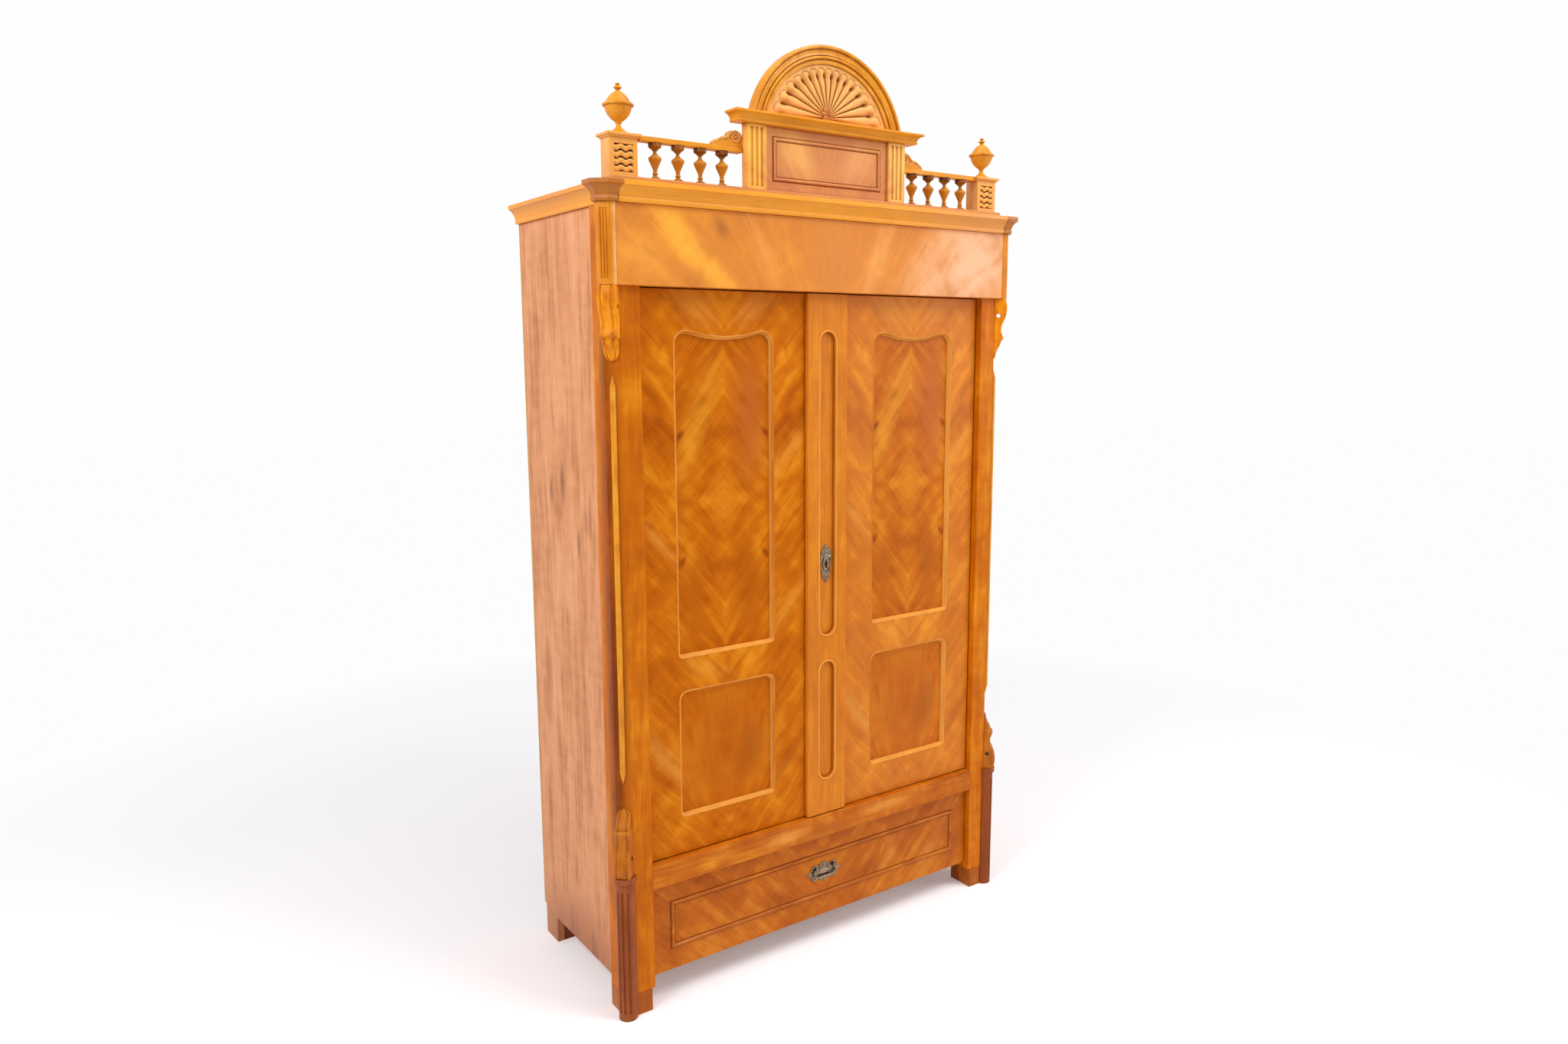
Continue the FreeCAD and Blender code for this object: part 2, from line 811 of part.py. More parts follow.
def frame_hinge_plates():
    """The fixed plates of the four pivot hinges: pins down from the head rail, pins up through a collar."""
    plates = []
    for side in (1, -1):
        head = hinge_leaf(side, frieze_bottom)
        plates.append(fused([head, pivot_rod(side, pivot_radius, frieze_bottom - door_foot_gap - pivot_length,
                                             frieze_bottom)]))
        foot = hinge_leaf(side, rail_top - hinge_plate_thickness)
        collar = flat_sided([(Vector(side * pivot_x, pivot_y, z), pivot_collar_radius)
                             for z in (rail_top, door_bottom - collar_gap)], up, collar_flat_count)
        pin = pivot_rod(side, pivot_radius, rail_top, door_bottom + pivot_length)
        plates.append(fused([foot, collar, pin]))
    return group(plates)


def door_hinge_plates(side):
    """The plates let into the top and bottom edges of a door, bored for the pins."""
    plates = []
    for z0 in (door_bottom, door_top - hinge_plate_thickness):
        bore = pivot_rod(side, pivot_radius + sliding_fit, z0, z0 + hinge_plate_thickness)
        plates.append(hinge_leaf(side, z0).cut(bore))
    return group(plates)


def door_blank(side, free_edge):
    """The leaf before its openings, rounded along the front arris beside the pivots."""
    outer = side * door_outer
    blank = box(min(outer, free_edge), max(outer, free_edge), door_front, door_back, door_bottom, door_top)
    arris = [e for e in blank.Edges if abs(e.CenterOfMass.x - outer) < sliding_fit
             and abs(e.CenterOfMass.y - door_front) < sliding_fit]
    return blank.makeFillet(edge_round, arris)


def door_frame(side, free_edge):
    """Stiles and rails round two openings, recessed for hinge plates and pins."""
    frame = door_blank(side, free_edge)
    for place in panel_places(side):
        frame = frame.cut(panel_slab(place, door_front, door_back))
    well = pivot_length + pivot_well
    for z0 in (door_bottom, door_top - hinge_plate_thickness):
        frame = frame.cut(hinge_leaf(side, z0))
    half = pivot_radius + pivot_well
    x = side * pivot_x
    for z0, z1 in ((door_bottom, door_bottom + well), (door_top - well, door_top)):
        frame = frame.cut(box(x - half, x + half, pivot_y - half, pivot_y + half, z0, z1))
    return frame


def bolt_y():
    """The bolts run in the middle of the door's thickness."""
    return (door_front + door_back) / 2


def bolt_bar(z0, z1, clearance=0.0):
    """The flat bar of a bolt, or the channel that it slides in."""
    x, y = left_door_inner - bolt_inset, bolt_y()
    half_x, half_y = bolt_width / 2 + clearance, bolt_thickness / 2 + clearance
    return box(x - half_x, x + half_x, y - half_y, y + half_y, z0, z1)


def bolt_knob(z0, z1, clearance=0.0):
    """The thumb piece of a bolt, or the slot that it slides in."""
    x, y = left_door_inner - bolt_inset, bolt_y()
    half = bolt_knob_width / 2 + clearance
    return box(x - half, x + half, y, door_back + bolt_knob_reach, z0 - clearance, z1 + clearance)


def door_bolt():
    """The upper bolt at rest, drawn back below the top of the left door, with its thumb piece."""
    top = door_top - bolt_setback
    knob_z = top - bolt_length + bolt_knob_height
    return fused([bolt_bar(top - bolt_length, top), bolt_knob(knob_z, knob_z + bolt_knob_width)])


def bolt_channel():
    """The channel of the upper bolt and the slot of its thumb piece."""
    foot = door_top - bolt_setback - bolt_length
    channel = bolt_bar(foot - bolt_clearance, door_top + overrun, bolt_clearance)
    knob_z = foot + bolt_knob_height
    return fused([channel, bolt_knob(knob_z, knob_z + bolt_knob_width + bolt_travel, bolt_clearance)])


def door_middle():
    return (door_top + door_bottom) / 2


def left_door_frame():
    """The left leaf, bored for its two bolts and let in for the strike."""
    frame = door_frame(-1, left_door_inner)
    channel = bolt_channel()
    frame = frame.cut(channel).cut(turned_over(channel, door_middle()))
    pocket = box(left_door_inner - strike_pocket_depth, left_door_inner, *lock_bolt_y(lock_clearance),
                 *lock_bolt_z(lock_clearance))
    return frame.cut(pocket).cut(strike_blank())


def lock_case_y():
    return door_back - lock_case_depth, door_back


def lock_bolt_y(clearance=0.0):
    middle = door_back - lock_case_depth / 2
    half = lock_bolt_thickness / 2 + clearance
    return middle - half, middle + half


def lock_bolt_z(clearance=0.0):
    half = lock_bolt_height / 2 + clearance
    return lock_height - half, lock_height + half


def strike_blank():
    middle = door_back - lock_case_depth / 2
    return box(left_door_inner - strike_thickness, left_door_inner, middle - strike_width / 2,
               middle + strike_width / 2, lock_height - strike_height / 2, lock_height + strike_height / 2)


def strike_plate():
    slot = box(left_door_inner - strike_pocket_depth, left_door_inner + overrun, *lock_bolt_y(lock_clearance),
               *lock_bolt_z(lock_clearance))
    return strike_blank().cut(slot)


def lock_case_blank():
    return box(-strip_half, lock_case_width - strip_half, *lock_case_y(),
               lock_height - lock_case_height / 2, lock_height + lock_case_height / 2)


def keyhole(y0, y1):
    """The keyhole, round above a slot, between two depths."""
    barrel = rod(keyhole_radius, Vector(0, y0, lock_height), Vector(0, 1, 0), y1 - y0)
    half = keyhole_slot_width / 2
    slot = box(-half, half, y0, y1, lock_height - keyhole_slot_height, lock_height)
    return fused([barrel, slot])


def lock_case():
    """The case of the lock, channelled for its bolt and open to the key."""
    y0 = lock_case_y()[0]
    channel = box(-strip_half - overrun, lock_bolt_length + lock_bolt_setback + lock_clearance - strip_half,
                  *lock_bolt_y(lock_clearance), *lock_bolt_z(lock_clearance))
    return lock_case_blank().cut(channel).cut(keyhole(y0 - overrun, y0 + keyhole_depth_in_case))


def lock_bolt():
    start = lock_bolt_setback - strip_half
    return box(start, start + lock_bolt_length, *lock_bolt_y(), *lock_bolt_z())


def right_door_frame():
    """The right leaf, recessed at the back for the lock and pierced by the keyhole."""
    frame = door_frame(1, -strip_half)
    return frame.cut(lock_case_blank()).cut(keyhole(door_front - overrun, lock_case_y()[0]))


def stadium(half, bottom, top, y):
    """A tall outline with half-round ends."""
    def place(x, z):
        return Vector(x, y, z)
    marks = ((half, bottom + half), (half, top - half), ((0.0, top), (-half, top - half)),
             (-half, bottom + half), ((0.0, bottom), (half, bottom + half)))
    return wire_through(place, marks)


def slot_cutter(bottom, top):
    """The round-ended recess of the centre strip."""
    half = slot_width / 2
    recess = plate(stadium(half, bottom, top, strip_front - overrun), Vector(0, slot_depth + overrun, 0))
    return recess


def centre_strip():
    """The strip down the meeting edge, with a long and a short round-ended recess."""
    strip = box(-strip_half, strip_half, strip_front, door_front, door_bottom, door_top)
    arrises = [e for e in strip.Edges if abs(e.CenterOfMass.y - strip_front) < sliding_fit
               and e.Length > strip_width + overrun]
    strip = strip.makeChamfer(strip_arris, arrises)
    strip = strip.cut(slot_cutter(upper_slot_bottom, upper_slot_top))
    strip = strip.cut(slot_cutter(lower_slot_bottom, lower_slot_top))
    return strip.cut(keyhole(strip_front, door_front))


def escutcheon():
    """The pierced key plate in the long recess, with a raised shield round the keyhole."""
    back = strip_front + slot_depth
    front = back - escutcheon_thickness

    def outline(shares, shrink, y):
        def place(share_x, share_z):
            return Vector(share_x * shrink * escutcheon_width / 2, y,
                          lock_height + share_z * shrink * escutcheon_height / 2)
        return wire_through(place, shares + mirrored_marks(shares))
    body = plate(outline(escutcheon_half_shares, 1.0, back), Vector(0, -escutcheon_thickness, 0))
    shield = plate(outline(shield_half_shares, shield_share, front), Vector(0, -escutcheon_boss, 0))
    return fused([body, shield]).cut(keyhole(front - escutcheon_boss, back))


def mirrored_marks(marks):
    """The marks of a half outline run back along its mirror image."""
    ends = [mark[1] if isinstance(mark[0], tuple) else mark for mark in marks]
    back = []
    for number in range(len(marks) - 1, 0, -1):
        end = (-ends[number - 1][0], ends[number - 1][1])
        if isinstance(marks[number][0], tuple):
            middle = (-marks[number][0][0], marks[number][0][1])
            back.append((middle, end))
        else:
            back.append(end)
    return tuple(back)


# Drawer

def drawer_front():
    half = half_opening - drawer_gap
    return box(-half, half, door_front, door_back, drawer_bottom_edge, drawer_top_edge)


def drawer_side_outer():
    return half_opening - drawer_side_clearance


def drawer_back_y():
    return side_back_y - drawer_rear_gap


def drawer_floor():
    return runner_top + drawer_bottom_lift


def drawer_box():
    """The two sides and the back of the drawer."""
    outer = drawer_side_outer()
    inner = outer - drawer_side_thickness
    top = drawer_top_edge - drawer_side_drop
    side = box(inner, outer, door_back, drawer_back_y(), runner_top + runner_clearance, top)
    back = box(-inner, inner, drawer_back_y() - drawer_side_thickness, drawer_back_y(),
               drawer_floor() + drawer_bottom_thickness, top - drawer_back_drop)
    return group([side, mirrored(side), back])


def drawer_bottom():
    inner = drawer_side_outer() - drawer_side_thickness
    low = drawer_floor()
    return box(-inner, inner, door_back, drawer_back_y(), low, low + drawer_bottom_thickness)


def rectangle_path(half, z0, z1, y):
    """A rectangle that starts in the middle of its lower side."""
    marks = ((0, z0), (half, z0), (half, z1), (-half, z1), (-half, z0), (0, z0))
    return Part.makePolygon([Vector(x, y, z) for x, z in marks])


def framed_moulding(half, z0, z1, y, width, proud):
    """A beaded moulding planted round a rectangle on a face at depth y."""
    start = Vector(0, y, z0)

    def section(width_share, proud_share):
        return start + up * (width_share * width) - Vector(0, proud_share * proud, 0)
    return swept(rectangle_path(half, z0, z1, y), wire_through(section, bead_moulding_shares))


def drawer_moulding():
    return framed_moulding(half_opening - drawer_gap - drawer_moulding_inset, drawer_moulding_bottom,
                           drawer_moulding_top, door_front, drawer_moulding_width, drawer_moulding_proud)


def drawer_runner():
    """A bearer for the drawer side, a guide beside it behind the post, and a stop behind the drawer."""
    front = stop_y
    inner = half_opening - runner_width
    bearer = box(inner, half_opening, front, side_back_y, runner_top - runner_height, runner_top)
    guide = box(half_opening, side_inner, front_y + post_depth, side_back_y, runner_top - runner_height,
                runner_top + guide_rise)
    stop = box(inner, half_opening, drawer_back_y() + stop_gap, side_back_y, runner_top,
               runner_top + guide_rise)
    return fused([bearer, guide, stop])


def pull_point(x, reach, z):
    """A point of the drawer pull: x along it, reach out of the drawer front, z from its middle."""
    return Vector(x, door_front - reach, pull_height + z)


def pull_plate():
    """A lobed back plate with two eared posts for the bail."""
    upper = pull_quarter_shares
    lower = tuple((x, -z) for x, z in reversed(upper[:-1]))

    def place(share_x, share_z):
        return pull_point(share_x * pull_width / 2, 0, share_z * pull_plate_height / 2)
    body = plate(wire_through(place, upper + lower + mirrored_marks(upper + lower)),
                 Vector(0, -pull_plate_thickness, 0))
    pieces = [body]
    half, rise = pull_post_width / 2, pull_post_height / 2
    for side in (1, -1):
        x = side * pull_post_spacing / 2
        z = pull_height + pull_pivot_rise
        pieces.append(box(x - half, x + half, door_front - pull_post_reach, door_front, z - rise, z + rise))
    bore_start = pull_point(-pull_width / 2, pull_pivot_reach, pull_pivot_rise)
    return fused(pieces).cut(rod(bail_pin_radius + sliding_fit, bore_start, Vector(1, 0, 0), pull_width))


def drawer_bail():
    """The hanging bail, an eight-sided rod bent below, whose pins turn in the posts."""
    inner = (pull_post_spacing - pull_post_width) / 2
    leg = (pull_post_spacing + pull_post_width) / 2 + bail_radius + bail_gap
    low = pull_pivot_rise - bail_drop
    marks = ((-leg, pull_pivot_rise + bail_radius), (-leg, low + bail_corner), (bail_corner - leg, low),
             (leg - bail_corner, low), (leg, low + bail_corner), (leg, pull_pivot_rise + bail_radius))
    path = Part.makePolygon([pull_point(x, pull_pivot_reach, z) for x, z in marks])
    start = pull_point(-leg, pull_pivot_reach, pull_pivot_rise + bail_radius)
    turns = [math.radians((number + 0.5) * 360 / bail_flat_count) for number in range(bail_flat_count)]
    corners = [start + Vector(math.cos(turn), math.sin(turn), 0) * bail_radius for turn in turns]
    pieces = [swept(path, Part.makePolygon(corners + corners[:1]))]
    for side in (1, -1):
        root = pull_point(side * leg, pull_pivot_reach, pull_pivot_rise)
        pieces.append(rod(bail_pin_radius, root, Vector(-side, 0, 0), leg - inner))
    return fused(pieces)


# Gallery

def gallery_floor():
    return cornice_top + gallery_base_height


def gallery_rail_bottom():
    return gallery_floor() + gallery_post_height


def gallery_top():
    return gallery_rail_bottom() + gallery_cap_height


def gallery_base():
    return box(-gallery_base_half, gallery_base_half, front_y + gallery_base_front,
               front_y + gallery_base_back, cornice_top, gallery_floor())


def turned(shares, radius, height, centre, flats):
    """A turning from the foot up, whose outline's shares give height and radius."""
    return flat_sided([(centre + up * (rise * height), share * radius) for rise, share in shares], up, flats)


def gallery_post():
    """A corner post of the gallery with a carved face and an overhanging cap."""
    x0, x1 = gallery_post_inner, gallery_post_outer
    y1 = front_y + gallery_base_back
    y0 = y1 - gallery_post_depth
    bottom, top = gallery_floor(), gallery_rail_bottom()
    post = box(x0, x1, y0, y1, bottom, top)
    sunk = box(x0 + carved_panel_inset, x1 - carved_panel_inset, y0, y0 + carved_panel_sink,
               bottom + carved_panel_inset, top - carved_panel_inset)
    post = post.cut(sunk)
    reach = gallery_cap_reach
    neck = gallery_cap_height / 2
    lower = box(x0 - reach / 2, x1 + reach / 2, y0 - reach / 2, y1 + reach / 2, top, top + neck)
    upper = box(x0 - reach, x1 + reach, y0 - reach, y1 + reach, top + neck, gallery_top())
    return fused([post, lower, upper] + carved_rows_on(x0, x1, y0, bottom, top))


def carved_rows_on(x0, x1, y0, bottom, top):
    """The wavy rows in the sunk face of a gallery post."""
    left, right = x0 + carved_panel_inset, x1 - carved_panel_inset
    half_wave = (right - left) / (2 * carved_wave_count)
    pitch = (top - bottom - 2 * carved_panel_inset) / carved_row_count
    half = pitch * carved_row_share / 2
    swing = pitch * carved_swing_share
    steps = range(2 * carved_wave_count + 1)

    def place(x, z):
        return Vector(x, y0, z)
    rows = []
    for row in range(carved_row_count):
        middle = bottom + carved_panel_inset + (row + 0.5) * pitch
        marks = []
        for rise in (half, -half):
            edge = [(left + step * half_wave, middle + rise + (swing if step % 2 else -swing))
                    for step in steps]
            marks += edge if rise > 0 else reversed(edge)
        rows.append(plate(wire_through(place, marks), Vector(0, carved_panel_sink, 0)))
    return rows


def finial():
    """A turned urn with a rim, a domed lid and a knob, on the cap of a gallery post."""
    x = (gallery_post_inner + gallery_post_outer) / 2
    y = front_y + gallery_base_back - gallery_post_depth / 2
    return turned(finial_shares, finial_radius, finial_height, Vector(x, y, gallery_top()), finial_flat_count)


def balusters():
    """Eight turned balusters, four on each side of the pediment."""
    start = block_half_width + baluster_end_gap
    spacing = (gallery_post_inner - baluster_end_gap - start) / (baluster_count - 1)
    right = []
    for number in range(baluster_count):
        foot = Vector(start + number * spacing, front_y + baluster_setback, gallery_floor())
        right.append(turned(baluster_shares, baluster_radius, gallery_post_height, foot, baluster_flat_count))
    return group(right + [mirrored(piece) for piece in right])


def gallery_rail():
    """The top rail of one side, from the pediment block to the post, with its volute."""
    y0 = front_y + gallery_rail_front
    end = gallery_post_inner - gallery_cap_reach
    rail = box(block_half_width, end, y0, y0 + gallery_rail_depth, gallery_rail_bottom(), gallery_top())
    front = y0 + (gallery_rail_depth - volute_depth) / 2

    def place(share_x, share_z):
        return Vector(block_half_width + (1 - share_x) * volute_length, front,
                      gallery_top() + share_z * volute_height)
    scroll = plate(wire_through(place, volute_shares), Vector(0, volute_depth, 0))
    return fused([rail, scroll])


def gallery_rails():
    rail = gallery_rail()
    return group([rail, mirrored(rail)])


# Pediment

def block_top():
    return gallery_floor() + block_height


def pediment_block():
    """The block between the balustrades: fluted pilasters and a sunk field with a planted moulding."""
    bottom, top = gallery_floor(), block_top()
    block = box(-block_half_width, block_half_width, front_y, front_y + block_depth, bottom, top)
    inner = block_half_width - pilaster_width
    field = front_y + block_panel_sink
    block = block.cut(box(-inner, inner, front_y - overrun, field, bottom, top))
    for side in (1, -1):
        middle = side * (block_half_width - pilaster_width / 2)
        for step in (-1, 0, 1):
            start = Vector(middle + step * pilaster_flute_spacing, front_y, bottom + pilaster_flute_margin)
            length = block_height - 2 * pilaster_flute_margin
            block = block.cut(groove_cutter(pilaster_flute_radius, start, up, length))
    frame = framed_moulding(inner - block_moulding_inset, bottom + block_moulding_rise,
                            top - block_moulding_inset, field, block_moulding_width, block_moulding_proud)
    return group([block, frame])


def pediment_cap():
    """The moulded cap of the block, returned at both ends."""
    half = block_half_width + cap_overhang
    back = front_y + block_depth + cap_back
    marks = [(-half, back), (-half, front_y), (half, front_y), (half, back)]
    path = Part.makePolygon([Vector(x, y, block_top()) for x, y in marks])
    section = cornice_section(Vector(-half, back, block_top()), Vector(-1, 0, 0), cap_height, cap_reach,
                              cap_reach / 2)
    return fused([swept(path, section), plan_prism(marks, block_top(), block_top() + cap_height)])


def cap_top():
    return block_top() + cap_height


def arch_centre():
    return Vector(0, front_y, cap_top() - arch_sink)


def arch_turns():
    """The angles where the lengths of the arch meet, from below the cap's top on the right to the left."""
    start = arch_start_share * math.asin(arch_sink / arch_radius)
    return [start + (math.pi - 2 * start) * number / arch_flat_count for number in range(arch_flat_count + 1)]


def on_ring(turn, radius, depth):
    """A point round the centre of the arch, at a depth behind its face."""
    return arch_centre() + Vector(radius * math.cos(turn), depth, radius * math.sin(turn))


def above_cap():
    """The space over the cap that the arch and the shell are cut to."""
    return box(-2 * arch_radius, 2 * arch_radius, front_y - 2 * arch_width, front_y + 2 * arch_width,
               cap_top(), cap_top() + 2 * arch_radius)


def arch_moulding():
    """The moulded arch: an outer bead, a hollow and an inner bead, in short lengths round its centre."""
    back = -arch_thickness / arch_proud
    marks = ((0.0, back),) + arch_face_shares + ((1.0, back),)
    rings = [[on_ring(turn, arch_radius - share_in * arch_width, -share_proud * arch_proud)
              for share_in, share_proud in marks] for turn in arch_turns()]
    return skinned(rings).common(above_cap())


def hub_centre():
    return Vector(0, front_y + arch_thickness - shell_plate, cap_top() + shell_hub_rise)


def lobe_length(angle):
    """From the hub to just inside the ring, along a ray at an angle."""
    drop = hub_centre().z - arch_centre().z
    ring = arch_radius - arch_width - shell_rim
    toward = drop * math.sin(angle)
    return math.sqrt(ring * ring - drop * drop + toward * toward) - toward


def shell_lobe(number):
    """One swelling rib of the shell, which widens from the hub to a blunt tip."""
    step = math.pi / shell_lobe_count
    angle = (number + 0.5) * step
    widening = math.sin(step / 2)
    ray = Vector(math.cos(angle), 0, math.sin(angle))
    reach = lobe_length(angle)
    radius = shell_lobe_share * reach * widening / (1 + widening)
    start = hub_centre() + ray * shell_lobe_start
    end = hub_centre() + ray * (reach - radius) + Vector(0, shell_lobe_sink, 0)
    axis = end - start
    tip = end + axis * (radius * shell_lobe_share / axis.Length)
    stations = [(start, shell_lobe_share * shell_lobe_start * widening), (end, radius),
                (tip, radius * shell_tip_share)]
    return flat_sided(stations, axis, shell_lobe_flat_count)


def scallop_shell():
    """The carved shell that fills the arch: ribs round a domed hub on a back plate."""
    back = front_y + arch_thickness
    corners = [on_ring(turn, arch_radius - arch_width, arch_thickness - shell_plate) for turn in arch_turns()]
    ground = plate(Part.makePolygon(corners + corners[:1]), Vector(0, shell_plate, 0))
    ribs = [shell_lobe(number) for number in range(shell_lobe_count)]
    forward = Vector(0, -1, 0)
    stations = [(hub_centre(), shell_hub_radius), (hub_centre() + forward * shell_hub_proud, shell_hub_radius),
                (hub_centre() + forward * (2 * shell_hub_proud), shell_hub_radius * shell_hub_top_share)]
    hub = flat_sided(stations, forward, shell_lobe_flat_count)
    whole = ground.fuse(ribs + [hub])
    space = box(-arch_radius, arch_radius, front_y - arch_width, back, cap_top(), cap_top() + arch_radius)
    return whole.common(space).removeSplitter()


def save(name, shape):
    """Write one node, after checking that it is sound."""
    if not shape.isValid():
        print("not valid:", name)
    shape.exportStep("parts/" + name + ".step")
    print(name, len(shape.Solids), "solids", round(shape.Volume / 1000), "cm3")


def main():
    os.makedirs("parts", exist_ok=True)
    pairs = {
        "side_panel": side_panel(), "corner_post": corner_post(), "column_base": column_base(),
        "fluted_post": fluted_post(), "capital": capital(), "drawer_runner": drawer_runner(),
    }
    for name, shape in pairs.items():
        save("right_" + name, shape)
        save("left_" + name, mirrored(shape))
    twins = {
        "front_feet": front_foot(), "rear_feet": rear_foot(), "corner_beads": corner_bead(),
        "shelf_battens": shelf_batten(), "rail_sockets": rail_socket(), "gallery_posts": gallery_post(),
        "finials": finial(),
    }
    for name, shape in twins.items():
        save(name, group([shape, mirrored(shape)]))
    upper_bolt = door_bolt()
    singles = {
        "corner_brackets": corner_brackets(), "frieze_board": frieze_board(), "head_rail": head_rail(),
        "main_cornice": main_cornice(), "top_board": top_board(), "mid_rail": mid_rail(),
        "bottom_board": bottom_board(), "back_boards": back_boards(), "hat_shelf": hat_shelf(),
        "hanging_rail": hanging_rail(), "frame_hinge_plates": frame_hinge_plates(),
        "gallery_base": gallery_base(), "gallery_rails": gallery_rails(), "balusters": balusters(),
        "pediment_block": pediment_block(), "pediment_cap": pediment_cap(), "arch_moulding": arch_moulding(),
        "scallop_shell": scallop_shell(), "left_door_frame": left_door_frame(),
        "left_door_panels": door_panels(-1), "left_door_mouldings": door_mouldings(-1),
        "left_hinge_plates": door_hinge_plates(-1), "strike_plate": strike_plate(),
        "left_top_bolt": upper_bolt, "left_bottom_bolt": turned_over(upper_bolt, door_middle()),
        "right_door_frame": right_door_frame(), "right_door_panels": door_panels(1),
        "right_door_mouldings": door_mouldings(1), "right_hinge_plates": door_hinge_plates(1),
        "centre_strip": centre_strip(), "escutcheon": escutcheon(), "lock_case": lock_case(),
        "lock_bolt": lock_bolt(), "drawer_front": drawer_front(), "drawer_moulding": drawer_moulding(),
        "drawer_box": drawer_box(), "drawer_bottom": drawer_bottom(), "drawer_pull_plate": pull_plate(),
        "drawer_bail": drawer_bail(),
    }
    for name, shape in singles.items():
        save(name, shape)


main()
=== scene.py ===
"""Looks of the two-door wardrobe: carved and turned pieces, veneers, mouldings, metalwork and the studio.

Metres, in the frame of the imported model. It is laid out as an add-on and run as a script.
"""
import math

import bmesh
import bpy
from mathutils import Matrix, Vector


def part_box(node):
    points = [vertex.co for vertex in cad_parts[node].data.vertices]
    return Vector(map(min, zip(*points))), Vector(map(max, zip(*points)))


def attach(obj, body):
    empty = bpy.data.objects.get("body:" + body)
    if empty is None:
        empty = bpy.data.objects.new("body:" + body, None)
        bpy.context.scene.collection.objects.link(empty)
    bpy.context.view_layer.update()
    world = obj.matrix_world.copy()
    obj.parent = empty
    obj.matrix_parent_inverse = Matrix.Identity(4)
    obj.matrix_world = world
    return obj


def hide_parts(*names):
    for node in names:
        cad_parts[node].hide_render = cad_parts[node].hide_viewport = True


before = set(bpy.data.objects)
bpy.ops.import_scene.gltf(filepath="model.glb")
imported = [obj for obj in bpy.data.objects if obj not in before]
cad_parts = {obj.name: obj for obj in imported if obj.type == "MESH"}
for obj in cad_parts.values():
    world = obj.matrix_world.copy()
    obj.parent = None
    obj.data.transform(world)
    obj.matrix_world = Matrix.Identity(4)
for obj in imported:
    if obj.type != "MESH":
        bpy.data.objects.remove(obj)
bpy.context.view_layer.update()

bl_info = {
    "name": "Wardrobe with scallop pediment",
    "version": (1, 0, 0),
    "blender": (4, 5, 0),
    "location": "3D View > Sidebar > Wardrobe",
    "description": "Carved, turned and veneered pieces for the packed wardrobe, with its studio",
    "category": "Object",
}

MM = 0.001
FULL_TURN = 2 * math.pi
MIRROR = Matrix.Scale(-1, 4, (1, 0, 0))
HAIR = 0.01 * MM


def srgb(code):
    """An sRGB hex colour as linear red, green, blue and alpha."""
    shares = [int(code[place:place + 2], 16) / 255 for place in (1, 3, 5)]
    linear = [share / 12.92 if share <= 0.04045 else ((share + 0.055) / 1.055) ** 2.4 for share in shares]
    return (*linear, 1.0)


WHITE = srgb("#FFFFFF")


# Sizes and colours that a user would change

def length(name, text, default):
    return bpy.props.FloatProperty(name=name, description=text, default=default, min=0.0, unit="LENGTH")


def colour(name, text, code):
    return bpy.props.FloatVectorProperty(name=name, description=text, default=srgb(code), size=4,
                                         min=0.0, max=1.0, subtype="COLOR")


class WardrobeSizes(bpy.types.PropertyGroup):
    """Sizes of the worked detail."""
    arris: length("Arris", "Softening of the sawn edges of the case", 1.3 * MM)
    strip_arris: length("Strip arris", "Rounding of the strip between the doors", 2.6 * MM)
    small_arris: length("Small arris", "Softening of the mouldings and the hardware", 0.5 * MM)
    rib_rise: length("Rib rise", "How far the ribs of the shell stand above their grooves", 9 * MM)
    pit_depth: length("Pit depth", "Depth of the drilled ends of the grooves of the shell", 9 * MM)
    wave_rise: length("Wave rise", "How far the wavy rows of the gallery posts stand out", 2.6 * MM)


STEPS = ("light", "middle", "dark")
TONES = {
    "front": ("Front veneer", ("#E9931A", "#CB6C04", "#AC5001")),
    "deep": ("Browned veneer", ("#C9762A", "#AA5618", "#823808")),
    "side": ("Sides", ("#E8A678", "#DA9464", "#B06A42")),
    "gold": ("Mouldings and turned work", ("#F0AC3C", "#E0921E", "#BC6C10")),
    "amber": ("Carved brackets", ("#FAAE2C", "#EE8E0A", "#A85408")),
    "brown": ("Columns and feet", ("#B4683A", "#93491F", "#6E3010")),
    "pine": ("Boards inside and behind", ("#E0B07C", "#CC965C", "#AE7640")),
}


class WardrobeColours(bpy.types.PropertyGroup):
    """Colours of the woods, the metal and the studio."""
    brass: colour("Antique brass", "Worn faces of the pull and the key plate", "#A08C74")
    patina: colour("Patina", "Dark hollows of the pull and the key plate", "#241A12")
    ground: colour("Floor", "Floor and backdrop", "#FEFDFD")
    __annotations__.update({
        f"{group}_{step}": colour(f"{label}, {step}", f"The {step} tone of its grain", code)
        for group, (label, codes) in TONES.items() for step, code in zip(STEPS, codes)})


def sizes():
    return bpy.context.scene.wardrobe_sizes


def colours():
    return bpy.context.scene.wardrobe_colours


# Working on one piece

def clear_selection():
    """Deselect everything, so that an operator acts on the new piece alone."""
    for item in bpy.context.selected_objects:
        item.select_set(False)
    bpy.context.view_layer.objects.active = None


def take(*pieces):
    """Select these pieces alone, the first of them active."""
    clear_selection()
    for piece in pieces:
        piece.select_set(True)
    bpy.context.view_layer.objects.active = pieces[0]


def begin(name, primitive, place=None, **settings):
    """A new piece from a primitive, with its points put where a function of them says."""
    clear_selection()
    primitive(**settings)
    piece = bpy.context.active_object
    piece.name = name
    if place:
        for vertex in piece.data.vertices:
            vertex.co = place(*vertex.co)
    return piece


def open_edit(piece, kind="VERT", everything=False):
    """Edit one piece, with all or nothing selected in it."""
    take(piece)
    bpy.ops.object.mode_set(mode="EDIT")
    bpy.ops.mesh.select_mode(type=kind)
    bpy.ops.mesh.select_all(action="SELECT" if everything else "DESELECT")


